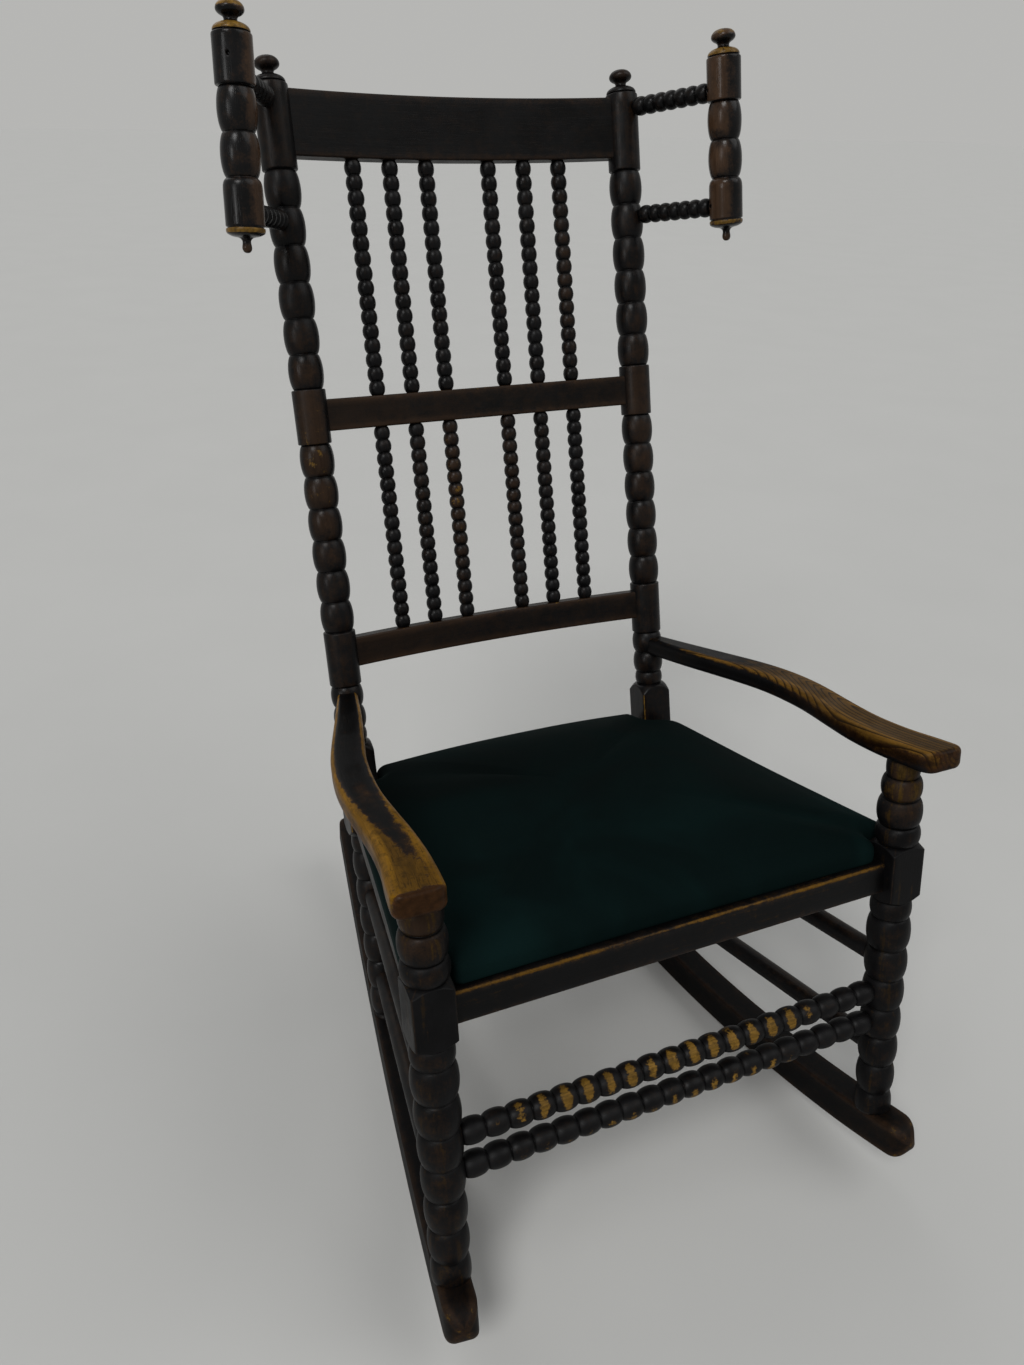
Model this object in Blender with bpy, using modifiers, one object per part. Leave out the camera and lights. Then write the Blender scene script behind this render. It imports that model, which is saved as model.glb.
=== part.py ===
"""A bobbin-turned rocking chair with a winged spindle back and a lift-out velvet seat.

Metres, +Z up. The sitter faces -Y, and left and right are as seen from the front, with +X to the right.
The origin is on the floor, in the middle of the chair's footprint.

Three frames are nested. The rockers stand upright on the floor. Everything above them is drawn level
in a frame that leans back by RECLINE, and the back is drawn upright in a frame that leans further by
POST_RAKE. Every tenon and its mortise, every shoulder and what it meets, share one set of values.
"""

import math

import bmesh
import bpy
from mathutils import Matrix, Vector

# Fits and leans
FIT = 0.0003
RECLINE = math.radians(10.5)
POST_RAKE = math.radians(5.28)
SIDES = {"left": -1, "right": 1}

# Plan of the frame: the axes of the legs and posts at the middle of the seat rails
FRONT_LEG_X = 0.268
FRONT_LEG_Y = -0.309
BACK_POST_X = 0.214
BACK_POST_Y = 0.1167
SEAT_RAIL_MIDDLE = 0.3525

# Rockers: arcs whose undersides are facets, the widest flat on the floor
ROCKER_RADIUS = 1.38
ROCKER_DEPTH = 0.042
ROCKER_WIDTH = 0.036
ROCKER_FRONT_REACH = 0.418
ROCKER_REAR_REACH = 0.418
ROCKER_REST_Y = 0.056
ROCKER_FLAT = 0.090
ROCKER_FACET = 0.048
ROCKER_END_STEPS = 5
FOOT_TENON_RADIUS = 0.010
FOOT_TENON_LENGTH = 0.024

# Turned work
LEG_STEPS = 8
SPINDLE_STEPS = 5
BOBBIN_ROW_STEPS = 6
STRETCHER_STEPS = 8
SOCKET_STEPS = 6
CREST_SHARE = 0.27
LEG_CREST_RADIUS = 0.020
LEG_GROOVE_RADIUS = 0.0162
LEG_BOBBIN_PITCH = 0.0395
LEG_BLOCK = 0.044
LEG_BLOCK_HEIGHT = 0.0555
LEG_BLOCK_ABOVE_RAIL = 0.007
LEG_COLLAR = 0.023
LEG_COLLAR_RADIUS = 0.0185
LEG_SWELL_RADIUS = 0.0235
LEG_TOP_RADIUS = 0.017
LEG_NECK_RADIUS = 0.015
LEG_CORE_RADIUS = 0.016
STUMP_SHARES = (0.165, 0.370, 0.700, 0.865)
BLOCK_CHAMFER = 0.003
ARM_TENON_RADIUS = 0.009
ARM_TENON_LENGTH = 0.015

# Back posts, measured along the post from the middle of the seat rails
POST_RADIUS = 0.0195
POST_BLOCK = 0.042
POST_BLOCK_TOP = 0.0916
POST_BLOCK_BOTTOM = -0.0326
POST_RING = 0.0173
POST_BOBBIN_COUNT = 6
POST_LOW_BOBBIN_COUNT = 2
FINIAL_RADIUS = 0.0134
FINIAL_NECK_RADIUS = 0.0065
FINIAL_NECK = 0.005
FINIAL_HEIGHT = 0.014
FINIAL_SHAPE = ((0.55, 0.0), (0.90, 0.22), (1.0, 0.52), (0.80, 0.84))
FINIAL_SHOULDER = 0.007
FINIAL_SHOULDER_SHAPE = ((0.62, 0.0), (0.86, 0.45))

# Bowed back rails: middle height, height, and the plain length of post below and above each
CREST_RAIL_MIDDLE = 0.7973
CREST_RAIL_HEIGHT = 0.0670
CREST_PLAIN_BELOW = 0.0143
CREST_PLAIN_ABOVE = 0.0053
MID_RAIL_MIDDLE = 0.4887
MID_RAIL_HEIGHT = 0.0362
MID_PLAIN_BELOW = 0.0133
MID_PLAIN_ABOVE = 0.0118
LOWER_RAIL_MIDDLE = 0.2052
LOWER_RAIL_HEIGHT = 0.0363
LOWER_PLAIN_BELOW = 0.0209
LOWER_PLAIN_ABOVE = 0.0102
BACK_BOW = 0.020
BACK_RAIL_THICKNESS = 0.020
BACK_RAIL_TENON_THICKNESS = 0.009
BACK_RAIL_TENON_LENGTH = 0.012
BACK_RAIL_TENON_SHOULDER = 0.006
BOW_STEPS = 10

# Spindles of the back, in two groups of three on each tier
SPINDLE_INNER_X = 0.0391
SPINDLE_PITCH = 0.0448
SPINDLES_IN_GROUP = 3
SPINDLE_CREST_RADIUS = 0.0097
SPINDLE_GROOVE_RADIUS = 0.0070
SPINDLE_BOBBIN_COUNT = 16
SPINDLE_TENON_RADIUS = 0.0042
SPINDLE_TENON_LENGTH = 0.008

# Wings: a short hanging post on two bobbin arms at each side of the head
WING_SPREAD_TOP = 0.0565
WING_SPREAD_TIP = 0.0679
WING_FORWARD = 0.1308
WING_POST_RADIUS = 0.0192
UPPER_WING_ARM_BELOW_CREST = 0.0117
WING_ARM_SPACING = 0.120
WING_CAP_ABOVE_ARM = 0.0341
WING_CAP_BELOW_ARM = 0.0111
WING_BLOCK_ABOVE_ARM = 0.0301
WING_BLOCK_BELOW_ARM = 0.0142
WING_BOBBIN_COUNT = 2
WING_DISC = 0.008
WING_PEG = 0.0154
WING_RING = 0.006
WING_PEG_RADIUS = 0.0047
WING_ARM_CREST_RADIUS = 0.0105
WING_ARM_GROOVE_RADIUS = 0.0076
WING_ARM_BOBBIN_COUNT = 7
WING_TENON_RADIUS = 0.0055
WING_TENON_LENGTH = 0.013
WING_PIN_RADIUS = 0.0016
WING_PIN_LENGTH = 0.024

# Arms of the chair, drawn from the leg's axis to the post's
ARM_ABOVE_SEAT = 0.1595
ARM_THICKNESS = 0.024
ARM_EDGE_ROUND = 0.005
ARM_OVERHANG = 0.056
ARM_CORNER = 0.013
ARM_FRONT_INNER_X = 0.2580
ARM_FRONT_OUTER_X = 0.3070
ARM_PLAN = (
    (-0.296, 0.2525, 0.2970),
    (-0.210, 0.2545, 0.2942),
    (-0.120, 0.2525, 0.2920),
    (-0.030, 0.2360, 0.2735),
)
ARM_REAR_WIDTH = 0.024
ARM_REAR_TENON_RADIUS = 0.0065
ARM_REAR_TENON_LENGTH = 0.012

# Seat rails
SEAT_RAIL_HEIGHT = 0.035
SEAT_RAIL_THICKNESS = 0.026
FRONT_RAIL_SETBACK = 0.014
SEAT_TENON_THICKNESS = 0.009
SEAT_TENON_HEIGHT = 0.024
SEAT_TENON_LENGTH = 0.012

# Stretchers
UPPER_FRONT_STRETCHER_Z = 0.203
LOWER_FRONT_STRETCHER_Z = 0.162
FRONT_STRETCHER_CREST_RADIUS = 0.0133
FRONT_STRETCHER_GROOVE_RADIUS = 0.0098
FRONT_STRETCHER_BOBBIN_COUNT = 20
UPPER_SIDE_STRETCHER_Z = 0.2385
LOWER_SIDE_STRETCHER_Z = 0.1175
BACK_STRETCHER_Z = 0.180
PLAIN_STRETCHER_RADIUS = 0.01175
STRETCHER_TENON_RADIUS = 0.006
STRETCHER_TENON_LENGTH = 0.012

# Lift-out seat: a four-piece frame with webbing under a velvet pad
SEAT_LIP = 0.007
SEAT_CLEARANCE = 0.004
SEAT_OVERHANG = 0.004
SEAT_COVER = 0.008
SEAT_FRAME_WIDTH = 0.040
SEAT_FRAME_THICKNESS = 0.016
SEAT_FRAME_TENON_THICKNESS = 0.006
SEAT_FRAME_TENON_WIDTH = 0.024
SEAT_FRAME_TENON_LENGTH = 0.018
WEBBING_WIDTH = 0.045
WEBBING_THICKNESS = 0.0015
WEBBING_ROWS = 3
WEBBING_COLUMNS = 3
PAD_EDGE_HEIGHT = 0.030
PAD_CROWN = 0.025
PAD_DRAW_IN = 0.004
PAD_FULLEST = 0.35
PAD_SHOULDER = 0.80
PAD_CROWN_RINGS = ((0.92, 0.20), (0.72, 0.62), (0.36, 1.0))
PAD_CORNER = 0.012
PAD_LONGEST_EDGE = 0.16

# Finishes: colour, roughness
EBONISED = ((0.016, 0.013, 0.011), 0.42)
WORN_BLACK = ((0.035, 0.022, 0.014), 0.45)
WORN_GOLD = ((0.160, 0.085, 0.030), 0.42)
VELVET = ((0.003, 0.009, 0.008), 0.90)
BARE_WOOD = ((0.300, 0.190, 0.090), 0.60)
JUTE = ((0.330, 0.240, 0.130), 0.85)


def clear_scene():
    for obj in list(bpy.data.objects):
        bpy.data.objects.remove(obj, do_unlink=True)


def collection(name):
    made = bpy.data.collections.new(name)
    bpy.context.scene.collection.children.link(made)
    return made


def frame(name, parent, location, lean):
    """An empty that its children are drawn upright in, leaned back by an angle about X."""
    made = bpy.data.objects.new(name, None)
    bpy.context.scene.collection.objects.link(made)
    made.parent = parent
    made.location = location
    made.rotation_euler = (-lean, 0, 0)
    return made


def material(name, finish):
    colour, roughness = finish
    made = bpy.data.materials.new(name)
    made.use_nodes = True
    shader = made.node_tree.nodes["Principled BSDF"]
    shader.inputs["Base Color"].default_value = (*colour, 1)
    shader.inputs["Roughness"].default_value = roughness
    shader.inputs["Metallic"].default_value = 0
    return made


class Workshop:
    """The collections and frames that pieces and cutters are added to."""

    def __init__(self):
        self.parts = collection("bobbin_rocking_chair")
        self.cutters = collection("joinery_cutters")
        self.floor = frame("floor_frame", None, (0, 0, 0), 0)
        self.level = frame("leaning_frame", self.floor, (0, 0, 0), RECLINE)
        back_foot = (0, BACK_POST_Y, SEAT_RAIL_MIDDLE)
        self.back = frame("back_frame", self.level, back_foot, POST_RAKE)

    def piece(self, name, mesh, parent, matrix, finish):
        made = bpy.data.objects.new(name, mesh)
        self.parts.objects.link(made)
        made.parent = parent
        made.matrix_basis = matrix
        mesh.materials.append(material(name + "_finish", finish))
        return made

    def helper(self, name, mesh, parent, matrix):
        """A cutter, or a shape that a Boolean joins on: never a part by itself."""
        made = bpy.data.objects.new(name, mesh)
        self.cutters.objects.link(made)
        made.parent = parent
        made.matrix_basis = matrix
        made.hide_render = True
        made.display_type = "WIRE"
        return made


def combine(obj, other, operation):
    modifier = obj.modifiers.new(operation.lower() + "_" + other.name, "BOOLEAN")
    modifier.operation = operation
    modifier.object = other
    modifier.use_self = True


def cut(obj, other):
    combine(obj, other, "DIFFERENCE")


def unite(obj, other):
    combine(obj, other, "UNION")


def mesh_from(name, bm):
    mesh = bpy.data.meshes.new(name)
    bm.to_mesh(mesh)
    bm.free()
    return mesh


def box_mesh(name, low, high, chamfer=0.0):
    """A box between two corners, with its top and bottom edges chamfered."""
    low, high = Vector(low), Vector(high)
    bm = bmesh.new()
    placed = Matrix.Translation((low + high) / 2) @ Matrix.Diagonal((*(high - low), 1))
    bmesh.ops.create_cube(bm, size=1, matrix=placed)
    if chamfer:
        rims = [e for e in bm.edges if math.isclose(e.verts[0].co.z, e.verts[1].co.z)]
        bmesh.ops.bevel(bm, geom=rims, offset=chamfer, segments=1, affect="EDGES")
    return mesh_from(name, bm)


def rod_mesh(name, radius, low, high, steps=SOCKET_STEPS):
    bm = bmesh.new()
    bmesh.ops.create_cone(
        bm,
        cap_ends=True,
        segments=steps,
        radius1=radius,
        radius2=radius,
        depth=high - low,
        matrix=Matrix.Translation((0, 0, (low + high) / 2)),
    )
    return mesh_from(name, bm)


def socket_radius(radius):
    """The radius of a faceted hole whose flats clear a round tenon by FIT."""
    return (radius + FIT) / math.cos(math.pi / SOCKET_STEPS)


def turned_mesh(name, profile):
    """The profile of a turned piece, radius and height from the top down, closed on its axis."""
    kept = [profile[0]]
    for point in profile[1:]:
        if math.dist(point, kept[-1]) > 1e-6:
            kept.append(point)
    points = [(0, 0, kept[0][1])]
    points += [(radius, 0, height) for radius, height in kept]
    points += [(0, 0, kept[-1][1])]
    mesh = bpy.data.meshes.new(name)
    mesh.from_pydata(points, [(i, i + 1) for i in range(len(points) - 1)], [])
    return mesh


def turn(obj, steps):
    screw = obj.modifiers.new("lathe", "SCREW")
    screw.axis = "Z"
    screw.angle = 2 * math.pi
    screw.steps = steps
    screw.render_steps = steps
    screw.use_merge_vertices = True
    screw.merge_threshold = 1e-5
    screw.use_smooth_shade = True


def bobbins(top, bottom, count, crest, groove):
    """A row of bobbins as a profile: each swells from a groove to a flat crest and back."""
    pitch = (top - bottom) / count
    points = [(groove, top)]
    for index in range(count):
        upper = top - index * pitch
        points.append((crest, upper - CREST_SHARE * pitch))
        points.append((crest, upper - (1 - CREST_SHARE) * pitch))
        points.append((groove, upper - pitch))
    return points


def beads(top, bottom, count, crest, groove):
    """A row of small bobbins, each one ridge between two grooves."""
    pitch = (top - bottom) / count
    points = [(groove, top)]
    for index in range(count):
        points.append((crest, top - (index + 0.5) * pitch))
        points.append((groove, top - (index + 1) * pitch))
    return points


def level_along(start, end):
    """The placing of a piece whose local Z runs from one point to another and whose local Y is up."""
    ahead = (Vector(end) - Vector(start)).normalized()
    across = Vector((0, 0, 1)).cross(ahead).normalized()
    up = ahead.cross(across)
    turned = Matrix((across, up, ahead)).transposed().to_4x4()
    return Matrix.Translation(start) @ turned


def upright_along(bottom, top):
    ahead = Vector(top) - Vector(bottom)
    return Matrix.Translation(bottom) @ ahead.to_track_quat("Z", "Y").to_matrix().to_4x4()


def outline_mesh(name, outlines, half_thickness, edge_round=0.0):
    """Closed outlines in XY, later ones being holes, made a plate of twice the half thickness."""
    curve = bpy.data.curves.new(name + "_outline", "CURVE")
    curve.dimensions = "2D"
    curve.fill_mode = "BOTH"
    curve.extrude = half_thickness - edge_round
    curve.bevel_depth = edge_round
    curve.bevel_resolution = 1
    curve.offset = -edge_round
    for outline in outlines:
        spline = curve.splines.new("POLY")
        spline.points.add(len(outline) - 1)
        spline.use_cyclic_u = True
        for point, (x, y) in zip(spline.points, outline):
            point.co = (x, y, 0, 1)
    return mesh_of_curve(name, curve)


def mesh_of_curve(name, curve):
    """A curve made a closed mesh: its loose caps are welded on and its faces turned outwards."""
    drawn = bpy.data.objects.new(curve.name, curve)
    bpy.context.scene.collection.objects.link(drawn)
    graph = bpy.context.evaluated_depsgraph_get()
    mesh = bpy.data.meshes.new_from_object(drawn.evaluated_get(graph))
    bpy.data.objects.remove(drawn, do_unlink=True)
    mesh.name = name
    bm = bmesh.new()
    bm.from_mesh(mesh)
    bmesh.ops.remove_doubles(bm, verts=bm.verts, dist=1e-5)
    bmesh.ops.recalc_face_normals(bm, faces=bm.faces)
    bm.to_mesh(mesh)
    bm.free()
    return mesh


def round_shoulder(ahead, axis, host_radius, radius):
    """How far from a round host's axis a round member's square shoulder stops."""
    slope = abs(Vector(ahead).normalized().dot(Vector(axis).normalized()))
    return (host_radius + radius * slope) / math.sqrt(1 - slope * slope) + FIT


def post_axis():
    """The back posts' direction in the leaning frame."""
    return Vector((0, math.sin(POST_RAKE), math.cos(POST_RAKE)))


def post_point(side, height):
    """The point of a back post's axis at a height of the leaning frame."""
    along = (height - SEAT_RAIL_MIDDLE) / math.cos(POST_RAKE)
    return Vector((side * BACK_POST_X, BACK_POST_Y, SEAT_RAIL_MIDDLE)) + along * post_axis()


def post_height(along):
    """The height in the leaning frame of a length along the back posts."""
    return SEAT_RAIL_MIDDLE + along * math.cos(POST_RAKE)


def rocker_height(reach, depth):
    """Height above the floor of the rocker's arc at a distance from its resting point."""
    centre = math.sqrt(ROCKER_RADIUS**2 - (ROCKER_FLAT / 2) ** 2)
    return centre - math.sqrt((ROCKER_RADIUS - depth) ** 2 - reach**2)


def foot_along(start_y, start_z, lean):
    """How far along a leaning axis, from a point of the leaning frame, the rocker's top is met."""
    y = start_y * math.cos(RECLINE) + start_z * math.sin(RECLINE)
    z = -start_y * math.sin(RECLINE) + start_z * math.cos(RECLINE)
    along = -z
    for _ in range(20):
        reach = y + along * math.sin(RECLINE + lean) - ROCKER_REST_Y
        along = (rocker_height(reach, ROCKER_DEPTH) - z) / math.cos(RECLINE + lean)
    return along


def floor_y(start_y, start_z, lean, along):
    y = start_y * math.cos(RECLINE) + start_z * math.sin(RECLINE)
    return y + along * math.sin(RECLINE + lean)


def leg_foot():
    """The front leg's foot, as a height of the leaning frame."""
    return foot_along(FRONT_LEG_Y, 0, 0)


def post_foot():
    """The back post's foot, along the post from the middle of the seat rails."""
    return foot_along(BACK_POST_Y, SEAT_RAIL_MIDDLE, POST_RAKE)


def rocker_arc(angle, radius):
    centre = math.sqrt(ROCKER_RADIUS**2 - (ROCKER_FLAT / 2) ** 2)
    return radius * math.sin(angle), centre - radius * math.cos(angle)


def rocker_end(angle, outward):
    """The round end of a rocker, from its underside to its top at the front, or back down."""
    middle = rocker_arc(angle, ROCKER_RADIUS - ROCKER_DEPTH / 2)
    points = []
    for step in range(1, ROCKER_END_STEPS):
        sweep = math.pi * step / ROCKER_END_STEPS
        along = outward * math.sin(sweep) * ROCKER_DEPTH / 2
        up = -math.cos(sweep) * ROCKER_DEPTH / 2
        x = middle[0] + along * math.cos(angle) - up * math.sin(angle)
        y = middle[1] + along * math.sin(angle) + up * math.cos(angle)
        points.append((x, y))
    return points


def rocker_angles():
    """The facets' corners as angles about the rocker's centre, from the front to the rear end."""
    middle_radius = ROCKER_RADIUS - ROCKER_DEPTH / 2
    front = -math.asin((ROCKER_FRONT_REACH - ROCKER_DEPTH / 2) / middle_radius)
    rear = math.asin((ROCKER_REAR_REACH - ROCKER_DEPTH / 2) / middle_radius)
    flat = math.asin(ROCKER_FLAT / 2 / ROCKER_RADIUS)
    facet = ROCKER_FACET / ROCKER_RADIUS
    front_steps = math.ceil((-flat - front) / facet)
    rear_steps = math.ceil((rear - flat) / facet)
    angles = [front + (-flat - front) * step / front_steps for step in range(front_steps + 1)]
    return angles + [flat + (rear - flat) * step / rear_steps for step in range(rear_steps + 1)]


def rocker_outline():
    """The rocker from the side: facets below with one flat on the floor, round ends, an arc above."""
    angles = rocker_angles()
    outline = [rocker_arc(angle, ROCKER_RADIUS) for angle in angles]
    outline += rocker_end(angles[-1], 1)
    outline += [rocker_arc(angle, ROCKER_RADIUS - ROCKER_DEPTH) for angle in reversed(angles)]
    outline += reversed(rocker_end(angles[0], -1))
    return outline


def coping_outline():
    """Everything below a gap above the rocker's top, to shape the legs' feet."""
    radius = ROCKER_RADIUS - ROCKER_DEPTH - FIT
    top = [rocker_arc(angle, radius) for angle in reversed(rocker_angles())]
    below = -2 * LEG_BOBBIN_PITCH - ROCKER_DEPTH
    return [(top[-1][0], below), (top[0][0], below)] + top


def rocker_placing(side):
    """Where a rocker stands: upright, through the feet of its leg and its post."""
    front_y = floor_y(FRONT_LEG_Y, 0, 0, leg_foot())
    back_y = floor_y(BACK_POST_Y, SEAT_RAIL_MIDDLE, POST_RAKE, post_foot())
    splay = (BACK_POST_X - FRONT_LEG_X) / (back_y - front_y)
    x = FRONT_LEG_X + splay * (ROCKER_REST_Y - front_y)
    ahead = Vector((side * splay, 1, 0)).normalized()
    up = Vector((0, 0, 1))
    turned = Matrix((ahead, up, ahead.cross(up))).transposed().to_4x4()
    return Matrix.Translation((side * x, ROCKER_REST_Y, 0)) @ turned


def make_rocker(shop, word, side):
    name = word + "_rocker"
    mesh = outline_mesh(name, [rocker_outline()], ROCKER_WIDTH / 2)
    rocker = shop.piece(name, mesh, shop.floor, rocker_placing(side), WORN_BLACK)
    coping_mesh = outline_mesh(name + "_coping", [coping_outline()], 2 * ROCKER_WIDTH)
    coping = shop.helper(name + "_coping", coping_mesh, shop.floor, rocker_placing(side))
    return rocker, coping


def shape_foot(shop, leg, rocker, coping, parent, placing, foot):
    """Copes a leg onto its rocker, then gives it a round tenon in a socket of the same size."""
    cut(leg, coping)
    top = foot + FOOT_TENON_LENGTH
    bottom = foot - FOOT_TENON_LENGTH
    name = leg.name + "_foot"
    tenon = rod_mesh(name + "_tenon", FOOT_TENON_RADIUS, bottom, top)
    unite(leg, shop.helper(name + "_tenon", tenon, parent, placing))
    hole = rod_mesh(name + "_socket", socket_radius(FOOT_TENON_RADIUS), bottom - FIT, top)
    cut(rocker, shop.helper(name + "_socket", hole, parent, placing))


def arm_underside():
    return SEAT_RAIL_MIDDLE + ARM_ABOVE_SEAT - ARM_THICKNESS


def rail_top():
    return SEAT_RAIL_MIDDLE + SEAT_RAIL_HEIGHT / 2


def leg_block_ends():
    top = rail_top() + LEG_BLOCK_ABOVE_RAIL
    return top - LEG_BLOCK_HEIGHT, top


def front_leg_profile():
    """Arm tenon, turned stump, square block's core, collar, and bobbins down past the rocker's top."""
    block_bottom, block_top = leg_block_ends()
    shoulder = arm_underside() - FIT
    rise = shoulder - block_top
    small, second, swell, ring = [shoulder - share * rise for share in STUMP_SHARES]
    profile = [(ARM_TENON_RADIUS, shoulder + ARM_TENON_LENGTH), (ARM_TENON_RADIUS, shoulder)]
    profile += bobbins(shoulder, small, 1, LEG_TOP_RADIUS, LEG_NECK_RADIUS)
    profile += bobbins(small, second, 1, LEG_CREST_RADIUS, LEG_NECK_RADIUS)
    profile += bobbins(second, swell, 1, LEG_SWELL_RADIUS, LEG_NECK_RADIUS)
    profile += bobbins(swell, ring, 1, LEG_CREST_RADIUS, LEG_NECK_RADIUS)
    profile += [(LEG_CORE_RADIUS, block_top), (LEG_CORE_RADIUS, block_bottom)]
    collar = block_bottom - LEG_COLLAR
    profile += bobbins(block_bottom, collar, 1, LEG_COLLAR_RADIUS, LEG_CORE_RADIUS)
    count = math.ceil((collar - leg_foot() + LEG_CREST_RADIUS) / LEG_BOBBIN_PITCH)
    bottom = collar - count * LEG_BOBBIN_PITCH
    profile += bobbins(collar, bottom, count, LEG_CREST_RADIUS, LEG_GROOVE_RADIUS)
    return profile


def make_front_leg(shop, word, side, rocker, coping):
    name = word + "_front_leg"
    placing = Matrix.Translation((side * FRONT_LEG_X, FRONT_LEG_Y, 0))
    mesh = turned_mesh(name, front_leg_profile())
    leg = shop.piece(name, mesh, shop.level, placing, EBONISED)
    turn(leg, LEG_STEPS)
    shape_foot(shop, leg, rocker, coping, shop.level, placing, leg_foot())
    half = LEG_BLOCK / 2
    bottom, top = leg_block_ends()
    block_mesh = box_mesh(name + "_block", (-half, -half, bottom), (half, half, top), BLOCK_CHAMFER)
    unite(leg, shop.helper(name + "_block", block_mesh, shop.level, placing))
    half += FIT
    room = box_mesh(name + "_room", (-half, -half, bottom - FIT), (half, half, top + FIT))
    return leg, shop.helper(name + "_room", room, shop.level, placing)


def rail_ends(middle, height):
    return middle - height / 2, middle + height / 2


def back_post_profile():
    """Finial, three plain lengths for the rails with bobbins between, block core, lower bobbins."""
    crest_low, crest_high = rail_ends(CREST_RAIL_MIDDLE, CREST_RAIL_HEIGHT)
    mid_low, mid_high = rail_ends(MID_RAIL_MIDDLE, MID_RAIL_HEIGHT)
    lower_low, lower_high = rail_ends(LOWER_RAIL_MIDDLE, LOWER_RAIL_HEIGHT)
    crest_top = crest_high + CREST_PLAIN_ABOVE
    crest_bottom = crest_low - CREST_PLAIN_BELOW
    mid_top = mid_high + MID_PLAIN_ABOVE
    mid_bottom = mid_low - MID_PLAIN_BELOW
    lower_top = lower_high + LOWER_PLAIN_ABOVE
    lower_bottom = lower_low - LOWER_PLAIN_BELOW
    profile = finial(crest_top, POST_RADIUS)
    profile += [(POST_RADIUS, crest_top), (POST_RADIUS, crest_bottom)]
    row = (POST_BOBBIN_COUNT, LEG_CREST_RADIUS, LEG_GROOVE_RADIUS)
    profile += bobbins(crest_bottom, mid_top, *row)
    profile += [(POST_RADIUS, mid_top), (POST_RADIUS, mid_bottom)]
    profile += bobbins(mid_bottom, lower_top, *row)
    profile += [(POST_RADIUS, lower_top), (POST_RADIUS, lower_bottom)]
    ring = POST_BLOCK_TOP + POST_RING
    profile += bobbins(lower_bottom, ring, POST_LOW_BOBBIN_COUNT, LEG_CREST_RADIUS, LEG_GROOVE_RADIUS)
    profile += bobbins(ring, POST_BLOCK_TOP, 1, LEG_COLLAR_RADIUS, LEG_CORE_RADIUS)
    profile += [(LEG_CORE_RADIUS, POST_BLOCK_BOTTOM)]
    collar = POST_BLOCK_BOTTOM - LEG_COLLAR
    profile += bobbins(POST_BLOCK_BOTTOM, collar, 1, LEG_COLLAR_RADIUS, LEG_CORE_RADIUS)
    count = math.ceil((collar - post_foot() + LEG_CREST_RADIUS) / LEG_BOBBIN_PITCH)
    bottom = collar - count * LEG_BOBBIN_PITCH
    profile += bobbins(collar, bottom, count, LEG_CREST_RADIUS, LEG_GROOVE_RADIUS)
    return profile


def finial_rise():
    return FINIAL_SHOULDER + FINIAL_NECK + FINIAL_HEIGHT


def finial(bottom, radius):
    """A flattened ball on a neck, above the rounded shoulder of a turning of this radius."""
    top = bottom + finial_rise()
    shoulder = bottom + FINIAL_SHOULDER
    neck = shoulder + FINIAL_NECK
    ball = [(wide * FINIAL_RADIUS, top - down * FINIAL_HEIGHT) for wide, down in FINIAL_SHAPE]
    ball += [(FINIAL_NECK_RADIUS, neck), (FINIAL_NECK_RADIUS, shoulder)]
    return ball + [(wide * radius, shoulder - down * FINIAL_SHOULDER) for wide, down in FINIAL_SHOULDER_SHAPE]


def make_back_post(shop, word, side, rocker, coping):
    name = word + "_back_post"
    placing = Matrix.Translation((side * BACK_POST_X, 0, 0))
    post = shop.piece(name, turned_mesh(name, back_post_profile()), shop.back, placing, EBONISED)
    turn(post, LEG_STEPS)
    shape_foot(shop, post, rocker, coping, shop.back, placing, post_foot())
    half = POST_BLOCK / 2
    ends = (POST_BLOCK_BOTTOM, POST_BLOCK_TOP)
    block_mesh = box_mesh(name + "_block", (-half, -half, ends[0]), (half, half, ends[1]), BLOCK_CHAMFER)
    unite(post, shop.helper(name + "_block", block_mesh, shop.back, placing))
    half += FIT
    room = box_mesh(name + "_room", (-half, -half, ends[0] - FIT), (half, half, ends[1] + FIT))
    block_room = shop.helper(name + "_room", room, shop.back, placing)
    radius = (max(POST_RADIUS, LEG_CREST_RADIUS) + FIT) / math.cos(math.pi / LEG_STEPS)
    above = CREST_RAIL_MIDDLE + CREST_RAIL_HEIGHT
    round_mesh = rod_mesh(name + "_round", radius, POST_BLOCK_TOP, above, LEG_STEPS)
    return post, block_room, shop.helper(name + "_round", round_mesh, shop.back, placing)


def bow(x):
    """How far the back is bowed behind the line of the posts, on an arc through both."""
    radius = (BACK_POST_X**2 + BACK_BOW**2) / (2 * BACK_BOW)
    return math.sqrt(radius**2 - x**2) - (radius - BACK_BOW)


def bowed_outline():
    half = BACK_RAIL_THICKNESS / 2
    xs = [BACK_POST_X * (2 * step / BOW_STEPS - 1) for step in range(BOW_STEPS + 1)]
    front = [(x, bow(x) - half) for x in xs]
    return front + [(x, bow(x) + half) for x in reversed(xs)]


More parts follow.
